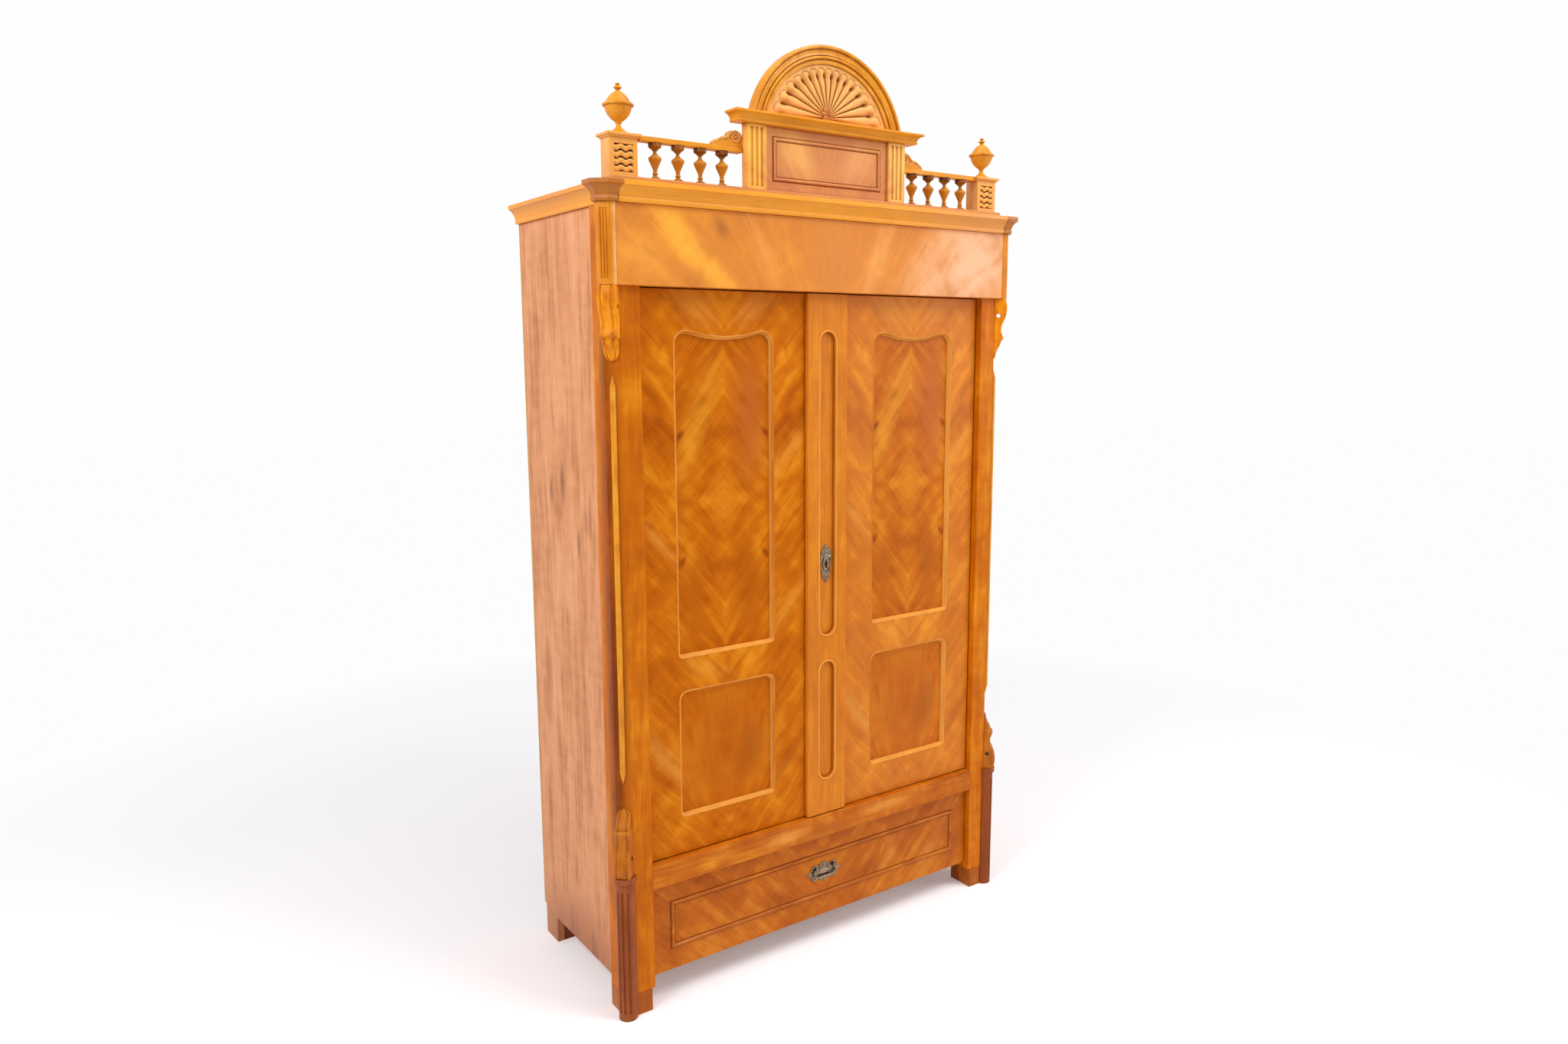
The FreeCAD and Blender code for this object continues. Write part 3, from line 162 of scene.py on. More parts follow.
def push(x, y, z):
    """Extrude what is selected by a step."""
    bpy.ops.mesh.extrude_region_move(TRANSFORM_OT_translate={"value": (x, y, z)})


def pick_faces(piece, test):
    """Select the faces whose middle and normal pass a test."""
    mesh = bmesh.from_edit_mesh(piece.data)
    for face in mesh.faces:
        face.select_set(test(face.calc_center_median(), face.normal))
    bmesh.update_edit_mesh(piece.data)


def close_edit(piece, smooth=32):
    """Turn the faces outwards, put the place in the mesh and smooth all but the sharp edges."""
    bpy.ops.mesh.select_all(action="SELECT")
    bpy.ops.mesh.remove_doubles(threshold=HAIR)
    bpy.ops.mesh.normals_make_consistent(inside=False)
    bpy.ops.object.mode_set(mode="OBJECT")
    bpy.ops.object.transform_apply(location=True, rotation=True, scale=True)
    bpy.ops.object.shade_smooth_by_angle(angle=math.radians(smooth))
    return piece


def apply_modifier(piece, kind, **settings):
    take(piece)
    modifier = piece.modifiers.new(kind.title(), kind)
    for name, value in settings.items():
        setattr(modifier, name, value)
    bpy.ops.object.modifier_apply(modifier=modifier.name)


def copied(piece, name, matrix):
    """A copy with its own mesh, moved or mirrored in its mesh."""
    twin = piece.copy()
    twin.data = piece.data.copy()
    twin.name = name
    bpy.context.scene.collection.objects.link(twin)
    twin.data.transform(matrix)
    if matrix.determinant() < 0:
        twin.data.flip_normals()
    return twin


def with_twins(*pieces):
    """The pieces and their mirror images on the left."""
    return [*pieces, *(copied(piece, piece.name.replace("right", "left"), MIRROR) for piece in pieces)]


def add_to_body(piece, body, slot, wood_or_metal, *nodes):
    """Give a finished piece its material, its body and the nodes that it stands for. The slot is not used."""
    piece.data.materials.clear()
    piece.data.materials.append(finish(wood_or_metal))
    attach(piece, body)
    if nodes:
        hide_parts(*nodes)


def smooth_line(points, steps):
    """Points along a smooth open line through the given ones."""
    spaced = [points[0], *points, points[-1]]
    line = []
    for a, b, c, d in zip(spaced, spaced[1:], spaced[2:], spaced[3:]):
        for step in range(steps):
            t = step / steps
            line.append(tuple(0.5 * (2 * q + (r - p) * t + (2 * p - 5 * q + 4 * r - s) * t * t
                                     + (3 * q - p - 3 * r + s) * t ** 3) for p, q, r, s in zip(a, b, c, d)))
    line.append(points[-1])
    return line


def spun(name, outline, centre, axis, place, steps):
    """Turn an outline, drawn by extruding one point, about an axis through a centre."""
    here = place(*outline[0])
    piece = begin(name, bpy.ops.mesh.primitive_plane_add, size=MM, location=here)
    open_edit(piece, everything=True)
    bpy.ops.mesh.merge(type="CENTER")
    for mark in outline[1:]:
        there = place(*mark)
        push(*(there - here))
        here = there
    bpy.ops.mesh.select_all(action="SELECT")
    bpy.ops.mesh.spin(steps=steps, angle=FULL_TURN, center=centre, axis=axis)
    return piece


def turned(name, outline, foot, radius, height, steps):
    """Turn an upright piece whose outline gives shares of its height and radius from the foot up."""
    def place(rise, share):
        return foot + Vector((share * radius, 0, rise * height))
    return close_edit(spun(name, outline, foot, (0, 0, 1), place, steps))


def sawn(name, outline, front, back):
    """A plate sawn to an outline of x and z, between two depths."""
    piece = begin(name, bpy.ops.mesh.primitive_circle_add, vertices=len(outline), fill_type="NGON",
                  rotation=(math.pi / 2, 0, 0))
    bpy.ops.object.transform_apply(location=True, rotation=True, scale=True)
    for vertex, (x, z) in zip(piece.data.vertices, outline):
        vertex.co = (x, front, z)
    open_edit(piece, "FACE", everything=True)
    push(0, back - front, 0)
    return piece


def soften(piece, width, segments=2, angle=40):
    apply_modifier(piece, "BEVEL", width=width, segments=segments, limit_method="ANGLE",
                   angle_limit=math.radians(angle))


# Materials

def add_node(tree, kind, inputs=None, **settings):
    """Add a node with its settings; an input takes a value or another node's output."""
    made = tree.nodes.new(kind)
    for name, value in settings.items():
        setattr(made, name, value)
    return feed(made, inputs or {})


def feed(node, inputs):
    """Give inputs of a node their values, or link them to other nodes' outputs."""
    for key, value in inputs.items():
        if isinstance(value, bpy.types.NodeSocket):
            node.id_data.links.new(value, node.inputs[key])
        else:
            node.inputs[key].default_value = value
    return node


def put_stops(ramp, stops):
    """Put a ramp's colours at their places, in rising order, and give its colour."""
    line = ramp.color_ramp.elements
    for place, tone in stops[1:-1]:
        line.new(place)
    for element, (place, tone) in zip(line, stops):
        element.position, element.color = place, tone
    return ramp.outputs["Color"]


def new_material(name):
    """An empty material with its output and a shader, in which the uniform values are set."""
    material = bpy.data.materials.new(name)
    material.use_nodes = True
    tree = material.node_tree
    tree.nodes.clear()
    shader = add_node(tree, "ShaderNodeBsdfPrincipled")
    add_node(tree, "ShaderNodeOutputMaterial", {"Surface": shader.outputs[0]})
    return material, tree, shader


def in_millimetres(tree, off):
    """The place on the piece in millimetres, moved by an offset."""
    place = add_node(tree, "ShaderNodeTexCoord").outputs["Object"]
    scale = (1 / MM,) * 3
    return add_node(tree, "ShaderNodeMapping", {"Vector": place, "Location": off, "Scale": scale}).outputs[0]


def laid(tree, middle=(0, 0, 0), mirrored_x=False, mirrored_z=False, turn=(0, 0, 0)):
    """Millimetres on the piece, measured from a middle and folded there, as matched veneers are, then turned.

    Afterwards the third number runs along the grain. What isn't folded is moved ten metres off the fold.
    """
    far = 10000
    off = (-middle[0] + (0 if mirrored_x else far), far, -middle[2] + (0 if mirrored_z else far))
    folded = add_node(tree, "ShaderNodeVectorMath", {0: in_millimetres(tree, off)}, operation="ABSOLUTE")
    angles = [math.radians(angle) for angle in turn]
    return add_node(tree, "ShaderNodeMapping", {"Vector": folded.outputs[0], "Rotation": angles}).outputs[0]


def fanned(tree, focus, reach):
    """Millimetres on a face whose grain runs out from a focus below it, as on a matched crotch veneer."""
    moved = in_millimetres(tree, [-value for value in focus])
    parts = add_node(tree, "ShaderNodeSeparateXYZ", {0: moved})
    aside = add_node(tree, "ShaderNodeMath", {0: parts.outputs[0]}, operation="ABSOLUTE")
    angle = add_node(tree, "ShaderNodeMath", {0: aside.outputs[0], 1: parts.outputs[2]}, operation="ARCTAN2")
    arc = add_node(tree, "ShaderNodeMath", {0: angle.outputs[0], 1: reach}, operation="MULTIPLY")
    out = add_node(tree, "ShaderNodeVectorMath", {0: moved}, operation="LENGTH").outputs["Value"]
    return add_node(tree, "ShaderNodeCombineXYZ", {0: arc.outputs[0], 1: 0.0, 2: out}).outputs[0]


def streaks(tree, vector, across, along, detail=2.0, distortion=0.0):
    """Noise drawn out along the grain, with its widths across and along the grain in millimetres."""
    scale = (1 / across, 1 / across, 1 / along)
    scaled = add_node(tree, "ShaderNodeMapping", {"Vector": vector, "Scale": scale})
    return add_node(tree, "ShaderNodeTexNoise", {"Vector": scaled.outputs[0], "Scale": 1.0, "Detail": detail,
                                                 "Distortion": distortion}).outputs["Fac"]


# What every polished wood shares: widths across and along the grain in millimetres, then shares of its look
PORES, RAYS = (1.8, 70), (60, 26)
CLOUD_WIDTH, CLOUD_RUN = 4, 0.6
# The last share is how far the painted shade in the hollows darkens the tone
BAND_SHARE, RAY_SHARE, PORE_SHARE, PORE_DEPTH, PAINTED_SHADE_DEPTH = 0.4, 0.14, 0.1, 0.4, 0.85
TONE_SPREAD = 0.16
DULLEST, GLOSSIEST = 0.05, -0.04
WOOD_IOR = 1.48


def wood(name, tones, grain, band=18, run=260, contrast=1.0, roughness=0.38, shine=0.14, hollows=0,
         patches=()):
    """A polished wood: clouds of tone, growth bands, fine pores, flames, patches of painted light and shade
    and, where carved, painted shade in its hollows.

    The band, the run and the hollows, the reach of the painted shade, are in millimetres.
    """
    material, tree, shader = new_material(name)
    vector = grain(tree)
    light, middle, dark = toned(*tones)
    value = streaks(tree, vector, band * CLOUD_WIDTH, run * CLOUD_RUN, 2.0, 0.5)
    fine = streaks(tree, vector, *PORES, 2.0)
    for part, share in ((streaks(tree, vector, band, run * CLOUD_RUN, 3.0, 0.7), BAND_SHARE),
                        (streaks(tree, vector, *RAYS, 1.0), RAY_SHARE), (fine, PORE_SHARE)):
        value = add_node(tree, "ShaderNodeMix", {"Factor": share, 2: value, 3: part},
                         data_type="FLOAT").outputs[0]
    spread = TONE_SPREAD / contrast
    tone = put_stops(add_node(tree, "ShaderNodeValToRGB", {"Fac": value}),
                     ((0.5 - spread, dark), (0.5, middle), (0.5 + spread, light)))
    pores = put_stops(add_node(tree, "ShaderNodeValToRGB", {"Fac": fine}),
                      ((0.32, srgb("#D8C0A0")), (0.46, WHITE)))
    tone = darkened(tree, tone, pores, PORE_DEPTH)
    for patch in patches:
        tone = flamed(tree, tone, value, *patch)
    # Painted shade: the tone darkens where other surfaces come near, in cuts, grooves and corners
    if hollows:
        shade = add_node(tree, "ShaderNodeAmbientOcclusion", {"Distance": hollows * MM}, samples=6)
        depth = put_stops(add_node(tree, "ShaderNodeValToRGB", {"Fac": shade.outputs["AO"]}),
                          ((0.25, srgb("#7A3A10")), (0.85, WHITE)))
        tone = darkened(tree, tone, depth, PAINTED_SHADE_DEPTH)
    gloss = add_node(tree, "ShaderNodeMapRange", {
        "Value": value, "From Min": 0.35, "From Max": 0.65, "To Min": roughness + DULLEST,
        "To Max": roughness + GLOSSIEST})
    bump = add_node(tree, "ShaderNodeBump", {"Height": fine, "Strength": 0.12, "Distance": 0.3 * MM})
    feed(shader, {"Base Color": tone, "Roughness": gloss.outputs[0], "IOR": WOOD_IOR,
                  "Specular IOR Level": shine, "Normal": bump.outputs[0]})
    return material


def darkened(tree, tone, tint, share):
    """A tone multiplied by a tint, by a share."""
    return add_node(tree, "ShaderNodeMix", {"Factor": share, 6: tone, 7: tint}, data_type="RGBA",
                    blend_type="MULTIPLY").outputs[2]


def flamed(tree, tone, figure, middle, reach, tint, share, lean=0):
    """Lay a knot, a flame or a patch of painted light and shade over a tone: a leaning oval of another tint,
    broken up by the wood's figure.
    """
    place = add_node(tree, "ShaderNodeTexCoord").outputs["Object"]
    near = add_node(tree, "ShaderNodeMapping", {
        "Vector": place, "Location": [value * MM for value in middle], "Rotation": (0, math.radians(lean), 0),
        "Scale": [value * MM for value in reach]}, vector_type="TEXTURE")
    ball = add_node(tree, "ShaderNodeTexGradient", {"Vector": near.outputs[0]}, gradient_type="SPHERICAL")
    broken = add_node(tree, "ShaderNodeMapRange", {
        "Value": figure, "From Min": 0.32, "From Max": 0.68, "To Min": 0.3, "To Max": 1.9})
    shape = add_node(tree, "ShaderNodeMath", {0: ball.outputs["Fac"], 1: broken.outputs[0]},
                     operation="MULTIPLY")
    soft = add_node(tree, "ShaderNodeMapRange", {
        "Value": shape.outputs[0], "From Max": 1.05, "To Max": share}, interpolation_type="SMOOTHSTEP")
    return add_node(tree, "ShaderNodeMix", {"Factor": soft.outputs[0], 6: tone, 7: srgb(tint)},
                    data_type="RGBA").outputs[2]


def toned(group, *steps):
    """The three tones of a group, moved in steps by a share towards a tint or the tones of another group."""
    def tones_of(name):
        return [tuple(getattr(colours(), f"{name}_{step}")) for step in STEPS]
    tones = tones_of(group)
    for aim, share in steps:
        aims = [srgb(aim)] * 3 if aim.startswith("#") else tones_of(aim)
        tones = [tuple(p + (q - p) * share for p, q in zip(tone, other)) for tone, other in zip(tones, aims)]
    return tones


# Where the grain runs, in millimetres from the origin on the floor in the middle of the wardrobe

PANEL_X, PANEL_SPLIT, PANEL_FOCUS, PANEL_HEART = 309, 860, 300, 1290


def upright(tree):
    return laid(tree)


def level(tree):
    return laid(tree, turn=(0, 90, 0))


def matched(x, angle):
    """Two leaves folded about an upright line, their grain rising outwards."""
    return lambda tree: laid(tree, (x, 0, 0), True, False, (0, -angle, 0))


def fan(z, reach):
    return lambda tree: fanned(tree, (0, 0, z), reach)


def door_leaves(side):
    """Four matched leaves above, meeting in a diamond, and two fanned leaves below."""
    def grain(tree):
        above = laid(tree, (side * PANEL_X, 0, PANEL_HEART), True, True, (0, 40, 0))
        below = fanned(tree, (side * PANEL_X, 0, PANEL_FOCUS), 300)
        place = add_node(tree, "ShaderNodeTexCoord").outputs["Object"]
        height = add_node(tree, "ShaderNodeSeparateXYZ", {0: place}).outputs[2]
        share = add_node(tree, "ShaderNodeMath", {0: height, 1: PANEL_SPLIT * MM}, operation="GREATER_THAN")
        return add_node(tree, "ShaderNodeMix", {"Factor": share.outputs[0], 4: below, 5: above},
                        data_type="VECTOR").outputs[1]
    return grain


# Knots, flames and patches of painted light and shade, each a middle, a reach, a tint, a share and, where it
# leans, degrees

def marks(depth, *rows):
    """Knots, flames and patches of painted light and shade at one depth, from rows that start with x and z.
    """
    return [((x, depth, z), *rest) for x, z, *rest in rows]


def frame_flames(side):
    """Paler flames that rise outwards on a door frame, and a dark one at the foot of its right stile."""
    x = side * PANEL_X
    return marks(-222, (x + 188, 1400, (36, 40, 200), "#F0A238", 0.45, 40),
                 (x - 195, 1200, (26, 40, 170), "#E2963A", 0.4, -40),
                 (x + 196, 1000, (30, 40, 190), "#EC9E34", 0.4, 40),
                 (x - 90, 1765, (60, 40, 120), "#DE9238", 0.45, -55),
                 (x + 90, 1765, (50, 40, 110), "#DE9040", 0.4, 55),
                 (x - 190, 650, (34, 40, 200), "#E29A40", 0.5, -36),
                 (x + 180, 560, (26, 40, 150), "#A65012", 0.5, 40),
                 (x - 60, 860, (120, 40, 30), "#D89038", 0.3, 20))


def panel_knots(side):
    """Small dark knots, repeated where the matched leaves mirror, one leaf browner than its twin, and painted
    shade over the lower panel.
    """
    x = side * PANEL_X
    knots = [(x + aside * 126, PANEL_HEART + z, (13, 40, 26), "#8A3E08", share, aside * -40)
             for aside in (-1, 1) for z, share in ((165, 0.9), (-150, 0.8))]
    return marks(-214, (x + 74, 1500, (80, 40, 260), "#B86026", 0.75),
                 (x - 70, 1500, (60, 40, 230), "#DE9226", 0.6, 20),
                 (x, PANEL_HEART, (80, 60, 110), "#E68E22", 0.35),
                 (x + 70, 1070, (60, 40, 160), "#A85408", 0.6),
                 (x - 90, 1060, (50, 40, 140), "#AE5A08", 0.5),
                 # Painted shade: the lower panel darker, as the light falls from above
                 (x, 650, (230, 60, 260), "#B4560E", 0.55),
                 (x + 70, 620, (60, 40, 130), "#8E400E", 0.35, 15), *knots)


def frieze_flames_and_sheen():
    """Flames that lean out from the focus of the frieze's fan, golden on the left, and pale ones on the right
    that are a painted sheen of the light.
    """
    return [((x, -262, z), (wide, 60, tall), tint, share, math.degrees(math.atan2(x, z - FRIEZE_FOCUS)))
            for x, z, wide, tall, tint, share in (
                (-415, 1890, 56, 240, "#FFB038", 0.85), (-560, 1885, 80, 200, "#F6A640", 0.5),
                (-215, 1900, 44, 200, "#F2A044", 0.45), (-335, 1948, 26, 44, "#8A4A1C", 0.55),
                (0, 1890, 110, 170, "#C87636", 0.5), (150, 1900, 46, 200, "#EEA65C", 0.4),
                (330, 1900, 90, 260, "#F2B078", 0.5), (500, 1890, 170, 340, "#F4BC94", 0.8))]


def lip_painted_shade():
    """Painted shade: the darker inner side and top of each lip."""
    lines = []
    for x in (-PANEL_X, PANEL_X):
        inner = x - math.copysign(143, x)
        lines += marks(
            -222, *((inner, z, (9, 60, tall), "#B4600E", 0.75) for z, tall in ((1300, 700), (650, 330))),
            *((x, z, (250, 60, thick), "#BC6810", 0.7) for z, thick in ((1704, 15), (816, 9))))
    return lines


# The woods, each with a line on what it gives the eye

FRIEZE_FOCUS = 1500
VENEER = dict(band=26, contrast=1.05)
CARVED = dict(grain=upright, band=9, run=120)
# A wood's hollows give the reach, in millimetres, of the painted shade in its cuts and corners
TURNED = dict(CARVED, tones=("gold",), contrast=0.7, roughness=0.34, shine=0.24, hollows=9)
MOULDED = dict(tones=("gold",), grain=level, band=14, run=420, contrast=0.5, roughness=0.34, shine=0.24,
               hollows=3)
PLAIN_PINE = dict(tones=("pine",), band=20, run=600, contrast=0.6, roughness=0.6)
WOODS = {
    # Straight cherry of the posts, hand polished: long calm streaks, browner round the canted corners
    "cherry upright": dict(tones=("front",), grain=upright, contrast=0.8, shine=0.1, patches=[
        ((x, -231, z), (44, 70, 900), "#7C3404", 0.95) for x in (-636, 636) for z in (700, 1300)]),
    # Paler straight cherry of the strip between the doors
    "cherry strip": dict(tones=("front", ("#E89430", 0.35)), grain=upright, contrast=0.8, hollows=8),
    # Straight cherry laid along the rails, with two pale flames over the drawer
    "cherry level": dict(tones=("front", ("deep", 0.3)), grain=level, run=300, patches=marks(
        -245, (-150, 352, (110, 60, 26), "#E89A40", 0.7), (205, 360, (150, 60, 24), "#E29438", 0.7),
        (0, 340, (130, 60, 24), "#A85818", 0.6))),
    # Cherry veneer matched about the middle of the left door, rising outwards
    "cherry left frame": dict(VENEER, tones=("front", ("deep", 0.05)), grain=matched(-PANEL_X, 42),
                              shine=0.06, patches=frame_flames(-1)),
    # The same on the right door, a shade paler than its twin as a painted sheen of the light from the right
    "cherry right frame": dict(VENEER, tones=("front", ("#EE9C48", 0.2)), grain=matched(PANEL_X, 42),
                               patches=frame_flames(1)),
    # Figured cherry in four matched leaves: a diamond that catches the eye in the upper panel
    "cherry left panels": dict(tones=("front", ("deep", 0.12)), grain=door_leaves(-1), band=28, contrast=1.05,
                               shine=0.05, hollows=4, patches=panel_knots(-1)),
    # The same figured leaves on the right door
    "cherry right panels": dict(tones=("front", ("deep", 0.1)), grain=door_leaves(1), band=28, contrast=1.1,
                                hollows=4, patches=panel_knots(1)),
    # Cherry veneer that fans out from below the frieze, golden on its left, and pale on its right as a
    # painted sheen
    "cherry frieze": dict(tones=("front", ("#EFA044", 0.4)), grain=fan(FRIEZE_FOCUS, 430), band=30, run=220,
                          contrast=0.9, shine=0.24, patches=frieze_flames_and_sheen()),
    # Cherry veneer in a wide chevron across the drawer
    "cherry drawer": dict(tones=("front", ("deep", 0.45)), grain=matched(0, 46), band=26, contrast=0.95,
                          hollows=7, patches=marks(
                              -250, (250, 200, (34, 40, 150), "#E09848", 0.6, 46),
                              (-150, 200, (30, 40, 130), "#C87828", 0.5, -46),
                              (420, 180, (40, 40, 140), "#D88C44", 0.5, 46),
                              (-330, 210, (50, 40, 130), "#9A4C14", 0.5, -46))),
    # Paler cherry veneer that opens in a V behind the planted moulding, between golden pilasters
    "cherry pediment": dict(tones=("front", ("#DCA070", 0.5)), grain=fan(1960, 160), band=22, hollows=9,
                            patches=marks(-237, (-90, 2135, (60, 30, 110), "#EDB060", 0.7, -35),
                                          (90, 2135, (60, 30, 110), "#E8A468", 0.5, 35))
                            + marks(-245, (226, 2126, (50, 90, 500), "#FFC466", 1.0),
                                    (-226, 2126, (50, 90, 500), "#FFC052", 1.0))),
    # Stained pine boards: pinker than the front, straight soft streaks, a few dark knots and painted shade
    # darkening their foot
    "pine side": dict(tones=("side",), grain=upright, band=14, run=420, contrast=0.9, roughness=0.42,
                      patches=[
        ((-624, 60, 1330), (30, 22, 80), "#6A3A2A", 0.8), ((-624, 130, 1300), (30, 18, 60), "#6A3A2A", 0.6),
        ((-624, -30, 1180), (30, 16, 60), "#6A3A2A", 0.6), ((-624, -100, 1250), (30, 14, 90), "#7A4630", 0.5),
        ((-624, -170, 720), (30, 26, 150), "#A4602E", 0.6), ((-624, 190, 800), (30, 30, 120), "#A4602E", 0.5),
        ((-624, 0, -40), (60, 460, 330), "#8E5034", 0.9)]),
    # Plain pine of the boards inside and behind, planed and left dull
    "pine inside": dict(PLAIN_PINE, grain=upright),
    # The same pine with its grain along the shelf and the drawer
    "pine inside level": dict(PLAIN_PINE, grain=level),
    # Polished cherry of the turned work: lighter and glossier than the veneer
    "gold upright": TURNED,
    # The same polished cherry run along the mouldings
    "gold level": dict(MOULDED, shine=0.2, hollows=4),
    # The brightest of the polished cherry, on the main cornice, brightened as a painted highlight, pinker on
    # its left return
    "gold cornice": dict(MOULDED, tones=("gold", ("#FFAA34", 0.5)), patches=[
        ((-690, 30, 2010), (90, 420, 160), "#D8864C", 0.7),
        ((560, -275, 2010), (420, 90, 200), "#DC9458", 0.6)]),
    # Paler, pinker cherry of the plinth under the gallery
    "gallery cherry": dict(MOULDED, tones=("gold", ("#C89066", 0.6)), roughness=0.36, shine=0.14),
    # Warm cherry of the fluted posts beside the frieze, paler where the light catches their right side
    "fluted cherry": dict(tones=("gold", ("front", 0.55)), grain=upright, contrast=0.7, hollows=3, patches=[
        ((x, -247, 1900), (16, 60, 1200), "#F4BC7C", 0.8) for x in (-614, 642)]),
    # The polished cherry on the balusters, with painted shade dark brown at their heads under the rail and at
    # their feet
    "gold turned": dict(TURNED, tones=("gold", ("#8E4A10", 0.35)), hollows=12, patches=marks(
        -213, (0, 2136, (4000, 200, 34), "#4A1C08", 0.95), (0, 2048, (4000, 200, 17), "#7A3414", 0.85))),
    # The polished cherry on the shell, with painted shade in its drilled pits and grooves, and pale on its
    # ribs
    "gold carved": dict(TURNED, tones=("gold", ("#FFC884", 0.45)), roughness=0.36),
    # Browner, pinker cherry of the rosette, with painted shade between its petals
    "rubbed rosette": dict(TURNED, tones=("gold", ("#B06A44", 0.6)), roughness=0.36),
    # Browner polished cherry of the capitals, with painted shade in their corners
    "brown gold": dict(MOULDED, tones=("gold", ("#94421A", 0.6)), contrast=0.6, shine=0.3, hollows=5),
    # Paler cherry of the gallery posts and the volutes, golden in front, whose cuts are shallow
    "gold wavy": dict(TURNED, tones=("gold", ("#FFD2A0", 0.3)), contrast=0.6, roughness=0.36, hollows=3,
                      patches=marks(-232, (0, 2095, (4000, 16, 400), "#E8A03C", 0.75))),
    # Cherry of the front feet, browned as painted shade at the foot of the case
    "foot cherry": dict(tones=("front", ("brown", 0.6)), grain=upright, contrast=0.8),
    # Cherry of the rear feet, nearly black-brown
    "waxed cherry": dict(tones=("brown", ("#3E1A08", 0.5)), grain=upright, contrast=0.8),
    # Browner cherry of the columns, darkened by handling
    "brown cherry": dict(tones=("brown",), grain=upright, band=14, run=300, contrast=0.5, roughness=0.4,
                         hollows=3),
    # Bright amber cherry of the upper brackets, with painted shade only in its cuts
    "amber carved": dict(CARVED, tones=("amber",), contrast=0.9, roughness=0.4, shine=0.16, hollows=7),
    # Browner amber cherry of the lower brackets, with deep painted shade in its cuts
    "amber brown": dict(CARVED, tones=("amber", ("#8E3E0C", 0.62)), contrast=1.1, roughness=0.4, shine=0.2,
                        hollows=14),
    # The polished lips round the door panels, paler as a painted highlight along their edges, with painted
    # shade on their inner sides and tops
    "lip cherry": dict(tones=("front", ("#FAB85A", 0.55)), grain=upright, band=8, run=160, roughness=0.36,
                       shine=0.1, hollows=3, patches=lip_painted_shade()),
    # The moulding planted on the drawer, in the tone of the drawer between its beads of painted shadow
    "drawer lip": dict(tones=("front", ("deep", 0.4), ("#A05818", 0.25)), grain=level, band=8, run=160,
                       roughness=0.32, shine=0.16, hollows=6),
    # A dark line of painted shadow beside a planted moulding
    "dark bead": dict(tones=("front", ("deep", 0.4), ("#6A2C0C", 0.75)), grain=level, band=8, run=160,
                      roughness=0.4),
}


def antique_brass(name):
    """Cast brass with a brown patina in its hollows and rubbed, pale high places."""
    material, tree, shader = new_material(name)
    tint = colours()
    place = add_node(tree, "ShaderNodeTexCoord").outputs["Object"]
    fine = add_node(tree, "ShaderNodeTexNoise", {"Vector": place, "Scale": 160.0, "Detail": 4.0}).outputs[0]
    shade = add_node(tree, "ShaderNodeAmbientOcclusion", {"Distance": 5 * MM}, samples=8).outputs["AO"]
    wear = add_node(tree, "ShaderNodeMix", {"Factor": 0.28, 2: shade, 3: fine}, data_type="FLOAT").outputs[0]
    tone = put_stops(add_node(tree, "ShaderNodeValToRGB", {"Fac": wear}),
                     ((0.6, tuple(tint.patina)), (0.92, tuple(tint.brass))))
    gloss = add_node(tree, "ShaderNodeMapRange", {
        "Value": wear, "From Min": 0.4, "From Max": 0.9, "To Min": 0.6, "To Max": 0.3})
    bump = add_node(tree, "ShaderNodeBump", {"Height": fine, "Strength": 0.25, "Distance": 0.3 * MM})
    feed(shader, {"Base Color": tone, "Roughness": gloss.outputs[0], "Metallic": 1.0,
                  "Normal": bump.outputs[0]})
    return material


def blued_iron(name):
    """Forged and blued iron of the hinge plates, the lock and the bolts, with faint scale."""
    material, tree, shader = new_material(name)
    place = add_node(tree, "ShaderNodeTexCoord").outputs["Object"]
    scale = add_node(tree, "ShaderNodeTexNoise", {"Vector": place, "Scale": 240.0, "Detail": 5.0}).outputs[0]
    tone = put_stops(add_node(tree, "ShaderNodeValToRGB", {"Fac": scale}),
                     ((0.35, srgb("#33302E")), (0.65, srgb("#6A635C"))))
    gloss = add_node(tree, "ShaderNodeMapRange", {"Value": scale, "To Min": 0.3, "To Max": 0.6})
    feed(shader, {"Base Color": tone, "Roughness": gloss.outputs[0], "Metallic": 1.0})
    return material


METALS = {"antique brass": antique_brass, "blued iron": blued_iron}


def finish(name):
    """The material of that name, made once."""
    made = bpy.data.materials.get(name)
    return made or (METALS[name](name) if name in METALS else wood(name, **WOODS[name]))


# Nodes whose solid shape is right, by finish

CASE_FINISHES = {
    "cherry upright": ("left_corner_post", "right_corner_post"),
    "cherry level": ("mid_rail", "head_rail"),
    "cherry frieze": ("frieze_board",),
    "pine side": ("left_side_panel", "right_side_panel"),
    "pine inside": ("back_boards",),
    "pine inside level": ("top_board", "bottom_board", "hat_shelf", "shelf_battens", "hanging_rail",
                          "rail_sockets", "left_drawer_runner", "right_drawer_runner"),
    "brown cherry": ("left_column_base", "right_column_base"),
    "waxed cherry": ("rear_feet",),
    "foot cherry": ("front_feet",),
    "fluted cherry": ("left_fluted_post", "right_fluted_post"),
    "gold upright": ("corner_beads",),
    "gold cornice": ("main_cornice",),
    "gallery cherry": ("gallery_base",),
    "gold level": ("gallery_rails", "pediment_cap"),
    "brown gold": ("left_capital", "right_capital"),
    "cherry pediment": ("pediment_block",),
}
LEAF_FINISHES = {
    "cherry left frame": ("left_door_frame",),
    "cherry right frame": ("right_door_frame",),
    "cherry left panels": ("left_door_panels",),
    "cherry right panels": ("right_door_panels",),
    "lip cherry": ("left_door_mouldings", "right_door_mouldings"),
    "cherry drawer": ("drawer_front",),
    "drawer lip": ("drawer_moulding",),
    "pine inside level": ("drawer_box", "drawer_bottom"),
}
STRIP_FINISHES = {"cherry strip": ("centre_strip",)}
IRON_FINISHES = {
    "blued iron": ("frame_hinge_plates", "left_hinge_plates", "right_hinge_plates", "strike_plate",
                   "lock_case", "lock_bolt", "left_top_bolt", "left_bottom_bolt"),
}


